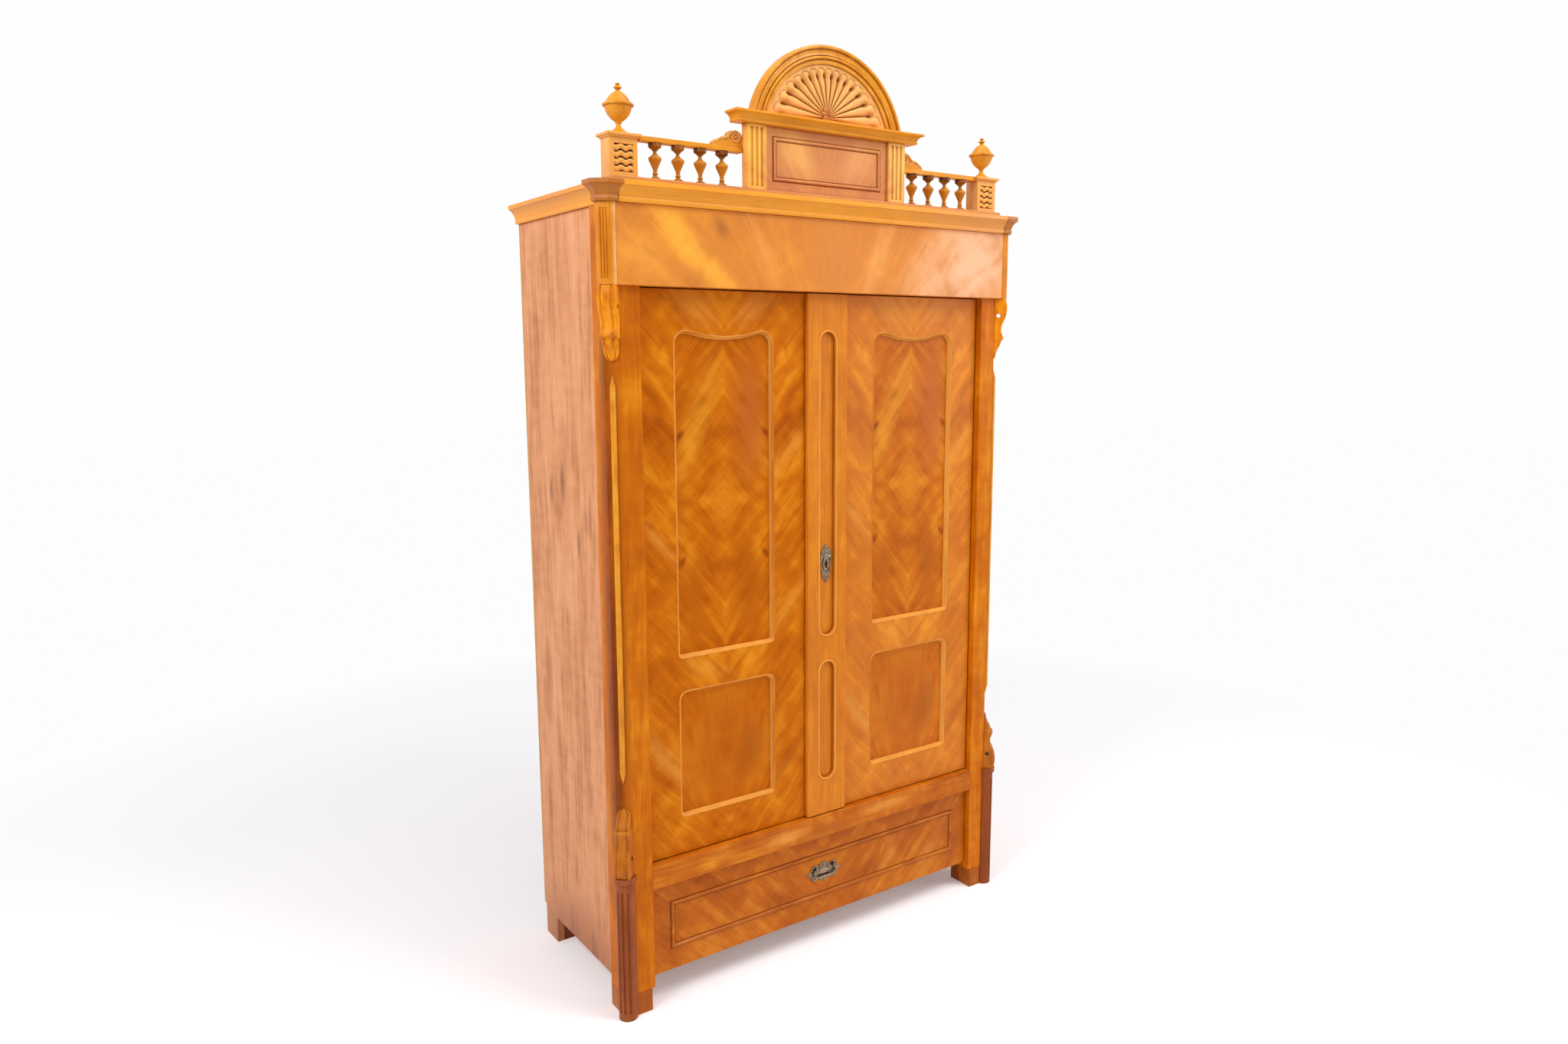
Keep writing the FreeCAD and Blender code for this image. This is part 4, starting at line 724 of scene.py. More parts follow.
def smooth_flats():
    """The steps that shade a piece smooth wherever its flats meet at a small angle, made once."""
    tree = bpy.data.node_groups.get("smooth flats")
    if tree:
        return tree
    tree = bpy.data.node_groups.new("smooth flats", "GeometryNodeTree")
    tree.is_modifier = True
    for way in ("INPUT", "OUTPUT"):
        tree.interface.new_socket("Geometry", in_out=way, socket_type="NodeSocketGeometry")
    start = add_node(tree, "NodeGroupInput")
    faces = add_node(tree, "GeometryNodeSetShadeSmooth", {"Geometry": start.outputs[0]}, domain="FACE")
    angle = add_node(tree, "GeometryNodeInputMeshEdgeAngle")
    sharp = add_node(tree, "FunctionNodeCompare", {0: angle.outputs[0], 1: math.radians(28)},
                     operation="GREATER_THAN")
    edges = add_node(tree, "GeometryNodeSetShadeSmooth", {
        "Geometry": faces.outputs[0], "Selection": sharp.outputs[0], "Shade Smooth": False}, domain="EDGE")
    add_node(tree, "NodeGroupOutput", {0: edges.outputs[0]})
    return tree


def dress(finishes, arris):
    """Give solids of the frame their finish and soft edges, by modifiers that leave their meshes alone."""
    for name, nodes in finishes.items():
        for item in (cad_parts[node] for node in nodes):
            item.data.materials.clear()
            item.data.materials.append(finish(name))
            item.modifiers.new("Joined", "WELD").merge_threshold = HAIR
            flats = item.modifiers.new("Flats", "DECIMATE")
            flats.decimate_type, flats.angle_limit = "DISSOLVE", math.radians(0.5)
            item.modifiers.new("Rounds", "NODES").node_group = smooth_flats()
            edge = item.modifiers.new("Arris", "BEVEL")
            edge.width, edge.segments = arris, 2
            edge.limit_method, edge.angle_limit = "ANGLE", math.radians(32)
            item.modifiers.new("Shading", "WEIGHTED_NORMAL").keep_sharp = True


class WARDROBE_OT_case(bpy.types.Operator):
    """Finish the case, its mouldings and the boards inside it"""
    bl_idname = "wardrobe.case"
    bl_label = "Case"

    def execute(self, context):
        dress(CASE_FINISHES, sizes().arris)
        return {"FINISHED"}


class WARDROBE_OT_leaves(bpy.types.Operator):
    """Finish the doors and the drawer"""
    bl_idname = "wardrobe.leaves"
    bl_label = "Doors and drawer"

    def execute(self, context):
        dress(LEAF_FINISHES, sizes().small_arris)
        dress(STRIP_FINISHES, sizes().strip_arris)
        return {"FINISHED"}


class WARDROBE_OT_ironwork(bpy.types.Operator):
    """Finish the hinge plates, the lock and the bolts"""
    bl_idname = "wardrobe.ironwork"
    bl_label = "Ironwork"

    def execute(self, context):
        dress(IRON_FINISHES, sizes().small_arris)
        return {"FINISHED"}


# Turned work

BALUSTERS_A_SIDE = 4
FIRST_BALUSTER = 53 * MM
# Outlines from the foot up, in shares of the height and the radius
BALUSTER = ((0, 0), (0, 0.8), (0.015, 0.86), (0.05, 0.86), (0.07, 0.78), (0.1, 0.52), (0.13, 0.34),
            (0.15, 0.3), (0.17, 0.42), (0.2, 0.42), (0.22, 0.3), (0.3, 0.34), (0.42, 0.62), (0.54, 0.93),
            (0.57, 1.0), (0.6, 1.0), (0.63, 0.9), (0.67, 0.58), (0.71, 0.36), (0.74, 0.28), (0.79, 0.26),
            (0.8, 0.36), (0.82, 0.5), (0.84, 0.5), (0.85, 0.62), (0.88, 0.88), (0.9, 0.98), (0.92, 1.0),
            (1.0, 1.0), (1.0, 0))
FINIAL = ((0, 0), (0, 0.56), (0.02, 0.58), (0.04, 0.54), (0.075, 0.4), (0.12, 0.22), (0.16, 0.16),
          (0.2, 0.15), (0.22, 0.22), (0.24, 0.22), (0.26, 0.32), (0.31, 0.52), (0.37, 0.68), (0.44, 0.79),
          (0.5, 0.85), (0.54, 0.87), (0.545, 0.98), (0.555, 1.0), (0.58, 1.0), (0.59, 0.96), (0.6, 0.82),
          (0.64, 0.76),
          (0.69, 0.67), (0.74, 0.55), (0.79, 0.4), (0.825, 0.25), (0.84, 0.13), (0.865, 0.12), (0.88, 0.2),
          (0.9, 0.27), (0.92, 0.24), (0.935, 0.14), (0.95, 0.1), (0.965, 0.15), (0.98, 0.15), (0.995, 0.08),
          (1.0, 0))


class WARDROBE_OT_balusters(bpy.types.Operator):
    """Turn one baluster and set eight of them under the gallery rails"""
    bl_idname = "wardrobe.balusters"
    bl_label = "Balusters"

    def execute(self, context):
        low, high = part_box("balusters")
        half = (high.y - low.y) / 2
        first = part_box("pediment_block")[1].x + FIRST_BALUSTER
        pitch = (high.x - half - first) / (BALUSTERS_A_SIDE - 1)
        foot = Vector((first, (high.y + low.y) / 2, low.z))
        pattern = turned("baluster_1", BALUSTER, foot, half / math.cos(math.pi / 8), high.z - low.z, 32)
        right = [pattern] + [
            copied(pattern, f"baluster_{number + 1}", Matrix.Translation((number * pitch, 0, 0)))
            for number in range(1, BALUSTERS_A_SIDE)]
        left = [copied(piece, f"baluster_{number}", MIRROR)
                for number, piece in enumerate(right, BALUSTERS_A_SIDE + 1)]
        for piece in right + left:
            add_to_body(piece, "carcass", "turned_wood", "gold turned")
        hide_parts("balusters")
        return {"FINISHED"}


class WARDROBE_OT_finials(bpy.types.Operator):
    """Turn an urn finial for each gallery post"""
    bl_idname = "wardrobe.finials"
    bl_label = "Finials"

    def execute(self, context):
        low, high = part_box("finials")
        half = (high.y - low.y) / 2
        foot = Vector((high.x - half, (high.y + low.y) / 2, low.z))
        right = turned("right_finial", FINIAL, foot, half / math.cos(math.pi / 12), high.z - low.z, 48)
        for piece in with_twins(right):
            add_to_body(piece, "carcass", "turned_wood", "gold upright")
        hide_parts("finials")
        return {"FINISHED"}


# Carved work

def carved(name, across, upward, place, back):
    """A carved face, a grid whose points are set by two shares, closed with a flat back at a depth."""
    piece = begin(name, bpy.ops.mesh.primitive_grid_add, lambda x, y, z: place(x + 0.5, y + 0.5),
                  x_subdivisions=across, y_subdivisions=upward, size=1.0)
    open_edit(piece, "FACE", everything=True)
    push(0, 30 * MM, 0)
    bpy.ops.transform.resize(value=(1, 0, 1), center_override=(0, back, 0))
    return close_edit(piece, 50)


def arc_of(low, high):
    """The radius of an arc that rises from a level line, and the height of its middle, from its box."""
    half, rise = (high.x - low.x) / 2, high.z - low.z
    radius = (half * half + rise * rise) / (2 * rise)
    return radius, high.z - radius


def step_between(low, high, value):
    """A smooth rise from nought to one."""
    share = max(0.0, min(1.0, (value - low) / (high - low)))
    return share * share * (3 - 2 * share)


# The shell: without a unit, a number is a share of a rib's width or of the way out from the hub
LOBES, RIB_STEPS, SHELL_STEPS = 15, 16, 56
SHELL_GROUND = 9 * MM
SHELL_BACK = 2 * MM
FOOT_MARGIN = 0.006
RIB_FOOT = 0.35
EDGE_PLACE, EDGE_WAVE, EDGE_RUN = 0.80, 0.085, 0.03
GROOVE_DEPTH = 3.5 * MM
PIT_PLACE, PIT_WIDTH, PIT_LENGTH = 0.78, 0.46, 0.055
RIM_DROP = 1.5 * MM
LINE_OFFSET, LINE_WIDTH, LINE_DEPTH = 0.045, 0.014, 3 * MM
HUB_RISE, HUB_RADIUS, HUB_LIFT, HUB_OPENING = 14 * MM, 20 * MM, 8 * MM, 0.8 * MM
PETALS, PETAL_FOOT, PETAL_WAIST = 8, 5 * MM, 0.78


def bell(value, width):
    """One at nought, and down to nothing some widths away."""
    return math.exp(-(value / width) ** 2)


class WARDROBE_OT_shell(bpy.types.Operator):
    """Carve the scallop shell, its rim and the rosette at its hub"""
    bl_idname = "wardrobe.shell"
    bl_label = "Scallop shell"

    def execute(self, context):
        low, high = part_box("scallop_shell")
        ring, centre_z = arc_of(low, high)
        hub_z = low.z + HUB_RISE
        drop = hub_z - centre_z
        wing = math.asin(HUB_RISE / ring)
        fan_angle = math.pi + 2 * wing
        ground = high.y - SHELL_GROUND
        rise, pit = sizes().rib_rise, sizes().pit_depth

        def relief(lobe, out):
            """Height over the ground by the share across a rib and the share out from the hub."""
            bow = math.sqrt(max(0.0, 1 - (2 * lobe - 1) ** 2))
            rib = rise * (RIB_FOOT + (1 - RIB_FOOT) * out) * bow
            groove = -GROOVE_DEPTH * (1 - bow) ** 2
            edge = EDGE_PLACE + EDGE_WAVE * bow
            rim = ground - low.y - RIM_DROP
            hole = bell(2 * min(lobe, 1 - lobe), PIT_WIDTH) * bell(out - PIT_PLACE, PIT_LENGTH)
            line = bell(out - edge - LINE_OFFSET, LINE_WIDTH)
            over = step_between(edge, edge + EDGE_RUN, out)
            return (rib + groove) * (1 - over) + rim * over - pit * hole - LINE_DEPTH * line

        def place(across, out):
            """A point of the shell by shares along its foot, round the arch, and out from the hub."""
            share = max(0.0, min(1.0, (across - FOOT_MARGIN) / (1 - 2 * FOOT_MARGIN)))
            turn = share * fan_angle - wing
            toward = drop * math.sin(turn)
            reach = math.sqrt(ring * ring - drop * drop + toward * toward) - toward
            distance = HUB_OPENING + (reach - HUB_OPENING) * out
            point = Vector((distance * math.cos(turn), 0, max(low.z, hub_z + distance * math.sin(turn))))
            point.y = min(ground - relief((share * LOBES) % 1.0, out), high.y - SHELL_BACK)
            if min(across, 1 - across) < FOOT_MARGIN / 2:
                point.z = low.z
            return point
        shell = carved("scallop_shell_carving", LOBES * RIB_STEPS, SHELL_STEPS, place, high.y)
        add_to_body(shell, "carcass", "carved_wood", "gold carved", "scallop_shell")

        def petal(across, out):
            """The rosette: eight petals round an eye, by shares of the way round and out."""
            turn = across * FULL_TURN
            wave = abs(math.cos(turn * PETALS / 2))
            reach = HUB_RADIUS * (PETAL_WAIST + (1 - PETAL_WAIST) * wave) * out
            height = 0.4 * math.sqrt(max(0.0, 1 - out * out)) + 1.6 * wave * out * (1 - out)
            eye = 0.5 * bell(out, 0.2) - 0.2 * bell(out - 0.34, 0.07)
            rise_z = hub_z + HUB_LIFT + reach * math.cos(turn)
            proud = PETAL_FOOT + (ground - low.y - PETAL_FOOT) * max(0.0, min(1.0, height + eye))
            return Vector((reach * math.sin(turn), ground - proud, max(low.z, rise_z)))
        rosette = carved("shell_rosette", 96, 14, petal, high.y - 0.6 * MM)
        add_to_body(rosette, "carcass", "carved_wood", "rubbed rosette")
        return {"FINISHED"}


# Section of the arch in millimetres inwards from its outer edge and back from its ground
ARCH_FACE = ((0, 22), (0, 0.4), (0.8, -1.6), (2.6, -3.2), (5, -4), (7.4, -3.4), (9, -1.6), (9.6, 2.4),
             (11.4, 2.6), (12, 0.8), (14, 1.6), (17, 2.4), (20, 2.2), (22.6, 0.9), (24, 0.4), (24.4, 3.0),
             (26, 3.0), (26.6, -1.8), (29, -3.5), (31, -3.4), (33, -2.0), (33.8, 2.6), (35.4, 2.6), (36, 1.0),
             (39, 1.3), (41, 0.6), (43, 0.9), (45, 1.6), (45, 22))


class WARDROBE_OT_arch(bpy.types.Operator):
    """Turn the moulded arch and saw it off along the cap"""
    bl_idname = "wardrobe.arch"
    bl_label = "Arch moulding"

    def execute(self, context):
        low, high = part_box("arch_moulding")
        radius, centre_z = arc_of(low, high)
        centre = Vector((0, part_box("pediment_block")[0].y, centre_z))

        def place(inward, depth):
            return centre + Vector((radius - inward * MM, depth * MM, 0))
        arch = spun("arch_moulding_turned", (*ARCH_FACE, ARCH_FACE[0]), centre, (0, 1, 0), place, 128)
        bpy.ops.mesh.remove_doubles(threshold=HAIR)
        bpy.ops.mesh.select_all(action="SELECT")
        bpy.ops.mesh.bisect(plane_co=(0, 0, low.z), plane_no=(0, 0, 1), use_fill=True, clear_inner=True)
        close_edit(arch, 28)
        add_to_body(arch, "carcass", "polished_moulding", "gold upright", "arch_moulding")
        return {"FINISHED"}


POST_WIDTH, POST_INSET, POST_SINK = 70 * MM, 11 * MM, 3 * MM
CAP_REACH, CAP_HEIGHT = 8 * MM, 12 * MM
# How far each step of the cap grows outwards and rises, in millimetres
CAP_STEPS = ((0, 1.5), (2.5, 0), (0.8, 2.5), (2.2, 2.0), (2.5, 0), (0, 6))
# Shares of a row's height: how far its wave swings, and half its width
WAVE_ROWS, WAVES, WAVE_SWING, WAVE_HALF = 4, 2, 0.17, 0.36


class WARDROBE_OT_gallery_posts(bpy.types.Operator):
    """Model a gallery post with its sunk face, wavy rows and cap, and mirror it"""
    bl_idname = "wardrobe.gallery_posts"
    bl_label = "Gallery posts"

    def execute(self, context):
        low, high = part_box("gallery_posts")
        start = Vector((high.x - CAP_REACH - POST_WIDTH, low.y + CAP_REACH, low.z))
        end = Vector((high.x - CAP_REACH, high.y - CAP_REACH, high.z - CAP_HEIGHT))
        span = end - start
        post = begin("right_gallery_post", bpy.ops.mesh.primitive_cube_add,
                     lambda *co: start + (Vector(co) + Vector((0.5, 0.5, 0.5))) * span, size=1.0)
        open_edit(post, "FACE")
        pick_faces(post, lambda middle, normal: normal.y < -0.9)
        bpy.ops.mesh.inset(thickness=POST_INSET)
        push(0, POST_SINK, 0)
        bpy.ops.mesh.select_all(action="DESELECT")
        pick_faces(post, lambda middle, normal: normal.z > 0.9 and middle.z > end.z - MM)
        for grow, rise in CAP_STEPS:
            push(0, 0, rise * MM)
            wide = self.widened(post, 2 * grow * MM)
            bpy.ops.transform.resize(value=(*wide, 1), center_override=((start + end) / 2).xy.to_3d())
        close_edit(post)
        soften(post, 0.7 * MM)

        def place(across, up):
            """Wavy rows by shares across and up the sunk face."""
            row = (up * WAVE_ROWS) % 1.0 if up < 1 else 1.0
            line = 0.5 + WAVE_SWING * math.sin(across * WAVES * FULL_TURN)
            share = min(1.0, abs(row - line) / WAVE_HALF)
            height = sizes().wave_rise * math.sqrt(max(0.0, 1 - share * share))
            return Vector((start.x + POST_INSET + across * (span.x - 2 * POST_INSET),
                           start.y + POST_SINK - height,
                           start.z + POST_INSET + up * (span.z - 2 * POST_INSET)))
        face = carved("right_post_carving", 72, 64, place, start.y + POST_SINK + 4 * MM)
        for piece in with_twins(post, face):
            add_to_body(piece, "carcass", "carved_wood", "gold wavy")
        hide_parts("gallery_posts")
        return {"FINISHED"}

    @staticmethod
    def widened(post, growth):
        """The scales that widen the selected face by a growth."""
        mesh = bmesh.from_edit_mesh(post.data)
        points = [vertex.co for vertex in mesh.verts if vertex.select]
        spans = [max(point[axis] for point in points) - min(point[axis] for point in points)
                 for axis in (0, 1)]
        return [(span + growth) / span for span in spans]


def rod(name, line, closed=False):
    """A rod swept through points, each with its radius in millimetres, open with capped ends or closed."""
    curve = bpy.data.curves.new(name, "CURVE")
    curve.dimensions, curve.bevel_depth, curve.bevel_resolution, curve.use_fill_caps = "3D", MM, 5, True
    spline = curve.splines.new("POLY")
    spline.points.add(len(line) - 1)
    spline.use_cyclic_u = closed
    for point, (place, radius) in zip(spline.points, line):
        point.co, point.radius = (*place, 1), radius
    path = bpy.data.objects.new(name, curve)
    mesh = bpy.data.meshes.new_from_object(path)
    bpy.data.objects.remove(path)
    piece = bpy.data.objects.new(name, mesh)
    bpy.context.scene.collection.objects.link(piece)
    open_edit(piece)
    return close_edit(piece, 60)


# The sunk fields of the strip, as in its solid
SLOT_RADIUS = 25 * MM
SLOT_FOOT, SLOT_HEAD, SLOT_GAP, LOWER_SLOT = 102 * MM, 97 * MM, 76 * MM, 332 * MM
BEAD_REACH, BEAD_THICK, BEAD_STEPS = SLOT_RADIUS + 3 * MM, 2.6, 24


class WARDROBE_OT_slot_beads(bpy.types.Operator):
    """Run a bead round each sunk field of the strip between the doors"""
    bl_idname = "wardrobe.slot_beads"
    bl_label = "Beads of the strip"

    def execute(self, context):
        low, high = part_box("centre_strip")
        middle = (low.x + high.x) / 2
        split = low.z + SLOT_FOOT + LOWER_SLOT
        for name, foot, head in (("lower_slot_bead", low.z + SLOT_FOOT, split),
                                 ("upper_slot_bead", split + SLOT_GAP, high.z - SLOT_HEAD)):
            line = []
            for centre_z, start in ((head - SLOT_RADIUS, 0), (foot + SLOT_RADIUS, 180)):
                for step in range(BEAD_STEPS + 1):
                    turn = math.radians(start + 180 * step / BEAD_STEPS)
                    across, up = BEAD_REACH * math.cos(turn), BEAD_REACH * math.sin(turn)
                    line.append((Vector((middle + across, low.y + 0.6 * MM, centre_z + up)), BEAD_THICK))
            add_to_body(rod(name, line, True), "right_door", "polished_moulding", "lip cherry")
        return {"FINISHED"}


# Half width, foot, head, face and width of the moulding of the pediment's field, in millimetres
PEDIMENT_FIELD = (170, 2075, 2178, -236.8, 8)
DRAWER_MOULDING_WIDTH = 10


class WARDROBE_OT_shadow_beads(bpy.types.Operator):
    """Run a line of painted shadow, a dark rod, on each side of the mouldings planted on the pediment and the
    drawer
    """
    bl_idname = "wardrobe.quirks"
    bl_label = "Beads of the planted mouldings"

    def execute(self, context):
        low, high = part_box("drawer_moulding")
        drawer = (high.x / MM, low.z / MM, high.z / MM, high.y / MM, DRAWER_MOULDING_WIDTH)
        for name, body, field in (("pediment", "carcass", PEDIMENT_FIELD), ("drawer", "drawer", drawer)):
            half, foot, head, face, width = field
            for kind, inward, thick in (("outer", -1.0, 1.7), ("inner", width + 1.0, 1.5)):
                x, z0, z1 = half - inward, foot + inward, head - inward
                line = [(Vector((across, face + 0.2, up)) * MM, thick)
                        for across, up in ((-x, z0), (x, z0), (x, z1), (-x, z1))]
                add_to_body(rod(f"{name}_{kind}_bead", line, True), body, "polished_moulding", "dark bead")
        return {"FINISHED"}


# The volute in millimetres: where its eye stands, the eye's outline, and the scroll's way down the slope
VOLUTE_X, VOLUTE_DROP, VOLUTE_PROUD = 270 * MM, 14.5 * MM, 9 * MM
VOLUTE_EYE = ((0, 0.5), (0, -3.6), (2, -3.3), (3.2, -2), (3.6, -0.4), (3.6, 0.5))
SCROLL_STEPS, SCROLL_TURN, SCROLL_INNER, SCROLL_OUTER = 32, 540, 5.5, 13
VOLUTE_TAIL = ((12, 9.5), (19, 3.5), (24, -1.5), (31, -4), (39, -5), (46, -8), (53, -13), (59, -18))


class WARDROBE_OT_volutes(bpy.types.Operator):
    """Turn the eye of each volute on the gallery rails and lay its scroll round it and down the slope"""
    bl_idname = "wardrobe.volutes"
    bl_label = "Volutes"

    def execute(self, context):
        low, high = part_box("gallery_rails")
        centre = Vector((VOLUTE_X, (low.y + high.y) / 2 - VOLUTE_PROUD, high.z - VOLUTE_DROP))

        def place(out, depth):
            return centre + Vector((out * MM, depth * MM, 0))
        eye = close_edit(spun("right_volute_eye", VOLUTE_EYE, centre, (0, 1, 0), place, 24))
        path = []
        for step in range(SCROLL_STEPS + 1):
            share = step / SCROLL_STEPS
            turn = math.radians(90 + SCROLL_TURN * (1 - share))
            reach = SCROLL_INNER + (SCROLL_OUTER - SCROLL_INNER) * share
            path.append((reach * math.cos(turn), reach * math.sin(turn)))
        path = path[:-1] + smooth_line((path[-1], *VOLUTE_TAIL), 3)
        line = []
        for number, (x, z) in enumerate(path):
            start, end = min(1, number / 20), min(1, (len(path) - number) / 12)
            line.append((place(x, 0) + Vector((0, 0, z * MM)), 1.3 + 1.7 * start * end))
        for piece in with_twins(eye, rod("right_volute_scroll", line)):
            add_to_body(piece, "carcass", "carved_wood", "gold wavy")
        return {"FINISHED"}


# Outline of a bracket from its seat down, in shares of its height and its reach
BRACKET_LINE = ((0, 0.86), (0.05, 0.95), (0.12, 1.0), (0.2, 0.99), (0.28, 0.93), (0.35, 0.8), (0.42, 0.64),
                (0.49, 0.57), (0.56, 0.57), (0.61, 0.68), (0.66, 0.76), (0.69, 0.74), (0.7, 0.6),
                (0.76, 0.52), (0.82, 0.36), (0.9, 0.2), (1.0, 0.1))
BRACKET_HALF, BRACKET_HEIGHT, BRACKET_REACH = 21 * MM, 172 * MM, 36 * MM
HOLE_REACH, HOLE_DROP, HOLE_RADIUS = 11 * MM, 48 * MM, 6 * MM
# Its necks: where they are and how wide, in shares of its height, and how deep
BRACKET_NECKS = ((0.69, 0.014, 2.4 * MM), (0.05, 0.012, 1.6 * MM))
CANT_SEAT = 14 * MM


def along(line, share):
    """The value of a broken line at a share of its length."""
    for (a, low), (b, high) in zip(line, line[1:]):
        if share <= b:
            return low + (high - low) * (share - a) / (b - a)
    return line[-1][1]


class WARDROBE_OT_brackets(bpy.types.Operator):
    """Carve one corner bracket, pierce it, and set four of them on the canted corners"""
    bl_idname = "wardrobe.brackets"
    bl_label = "Corner brackets"

    def execute(self, context):
        low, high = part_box("corner_brackets")
        post_low, post_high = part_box("right_corner_post")
        seat = Vector((post_high.x - CANT_SEAT, post_low.y + CANT_SEAT, 0))

        def place(across, up):
            """A point of the bracket's face by shares across and up, its back in the plane of the cant."""
            down = 1 - up
            narrow = 1 - 0.16 * step_between(0.69, 0.71, down)
            round_off = max(0.0, (down - 0.878) / 0.122)
            half = BRACKET_HALF * narrow * math.sqrt(max(0.02, 1 - round_off * round_off))
            side = abs(2 * across - 1)
            out = along(BRACKET_LINE, down) * BRACKET_REACH - 1.5 * MM * side * side
            out -= 2.6 * MM * bell(side - 0.6, 0.08) + 2.4 * MM * step_between(0.9, 1.0, side)
            out -= sum(deep * bell(down - neck, wide) for neck, wide, deep in BRACKET_NECKS)
            return Vector(((2 * across - 1) * half, -max(out, 1.2 * MM), high.z - down * BRACKET_HEIGHT))
        bracket = carved("right_upper_bracket", 28, 84, place, 0)
        drill = begin("drill", bpy.ops.mesh.primitive_cylinder_add, vertices=20, radius=HOLE_RADIUS,
                      depth=3 * BRACKET_HALF, location=(0, -HOLE_REACH, high.z - HOLE_DROP),
                      rotation=(0, math.pi / 2, 0))
        apply_modifier(bracket, "BOOLEAN", operation="DIFFERENCE", object=drill, solver="EXACT")
        bpy.data.objects.remove(drill)
        bracket.data.transform(Matrix.Translation(seat) @ Matrix.Rotation(math.pi / 4, 4, "Z"))
        over = Matrix.Translation((0, 0, low.z + high.z)) @ Matrix.Scale(-1, 4, (0, 0, 1))
        for piece in with_twins(bracket, copied(bracket, "right_lower_bracket", over)):
            colour_of = "amber brown" if "lower" in piece.name else "amber carved"
            add_to_body(piece, "carcass", "carved_wood", colour_of)
        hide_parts("corner_brackets")
        return {"FINISHED"}


# Brass

# Outlines in millimetres: a quarter of the pull's plate, half of the key plate and of its shield
PLATE_QUARTER = ((0, 29), (5, 28), (9, 24.5), (14, 20), (19, 18.5), (24, 21.5), (30, 24), (37, 22.5),
                 (42, 18), (43.5, 13), (46, 9.5), (51, 7), (55, 3.5))
KEY_HALF = ((0, -53), (3, -49), (5.5, -44), (11, -40.5), (12.5, -36), (9.5, -31), (14, -27.5), (17, -22),
            (14, -17), (15.5, -10), (14.5, -2), (18, 5), (20.5, 12), (18, 19), (16.5, 26), (17, 32),
            (12, 37), (8.5, 42), (5.5, 48))
SHIELD_HALF = ((0, -20), (5, -17), (9, -11), (11, -3), (11, 6), (8, 11), (10, 15), (5, 17.5), (0, 21))
# Where bosses and rings stand on them, with their half widths and heights or radii
KEY_BOSSES = ((0, 44, 3.2, 4), (0, 33, 4.5, 3.4), (0, -33, 3, 7), (0, -45, 2, 4), (10, 28, 3, 4),
              (15.5, 12, 2.6, 4), (12.5, -22, 2.6, 4), (8, -38, 2.4, 2.6))
PULL_RINGS = ((35, 11.5, 6.2), (35, -11.5, 6.2), (13.5, 15.5, 4.2), (13.5, -15.5, 4.2))
PULL_THICK, KEY_THICK, RING_THICK, LUG_X = 2.2 * MM, 1.8 * MM, 1.9, 31 * MM
# The bail in millimetres: half its straight grip, its bend from the corner, and a pin with its collar
BAIL_GRIP, BAIL_BEND = 14, ((11, 0), (3, 4), (0, 11))
BAIL_PIN = ((0, -1), (2.2, -1), (2.6, 0), (2.2, 1), (1.8, 1), (1.8, 11.5), (0, 11.5))
BAIL_INSET = 2.6 * MM
GRIP_THICK, LEG_THICK, GRIP_END = 2.55, 2.1, 0.35
# The keyhole in millimetres: the barrel's radius, and half the width and the foot of its slot
BARREL, SLOT_HALF, SLOT_DROP = 4, 2, 13


def drop_of(name, centre, radii, rise, back):
    """A raised oval boss: half a ball, flattened, on a plate."""
    def place(x, y, z):
        return centre[0] + x * radii[0] * MM, back - max(0.0, -y) * rise * MM, centre[1] + z * radii[1] * MM
    piece = begin(name, bpy.ops.mesh.primitive_uv_sphere_add, place, segments=24, ring_count=12, radius=1.0)
    open_edit(piece)
    return close_edit(piece, 60)


def ring_of(name, x, z, radius, thick, back):
    """A cast ring that stands half out of its plate."""
    centre = Vector((x, back, z))
    outline = [(radius + thick * math.cos(turn), -thick * math.sin(turn))
               for turn in [math.pi * step / 8 for step in range(9)]]
    outline += [(radius - thick, 0.6), (radius + thick, 0.6), outline[0]]

    def place(out, depth):
        return centre + Vector((out * MM, depth * MM, 0))
    return close_edit(spun(name, outline, centre, (0, 1, 0), place, 28), 60)


def joined(pieces, name):
    """Several pieces of one casting as one object."""
    take(*pieces)
    bpy.ops.object.join()
    pieces[0].name = name
    return pieces[0]


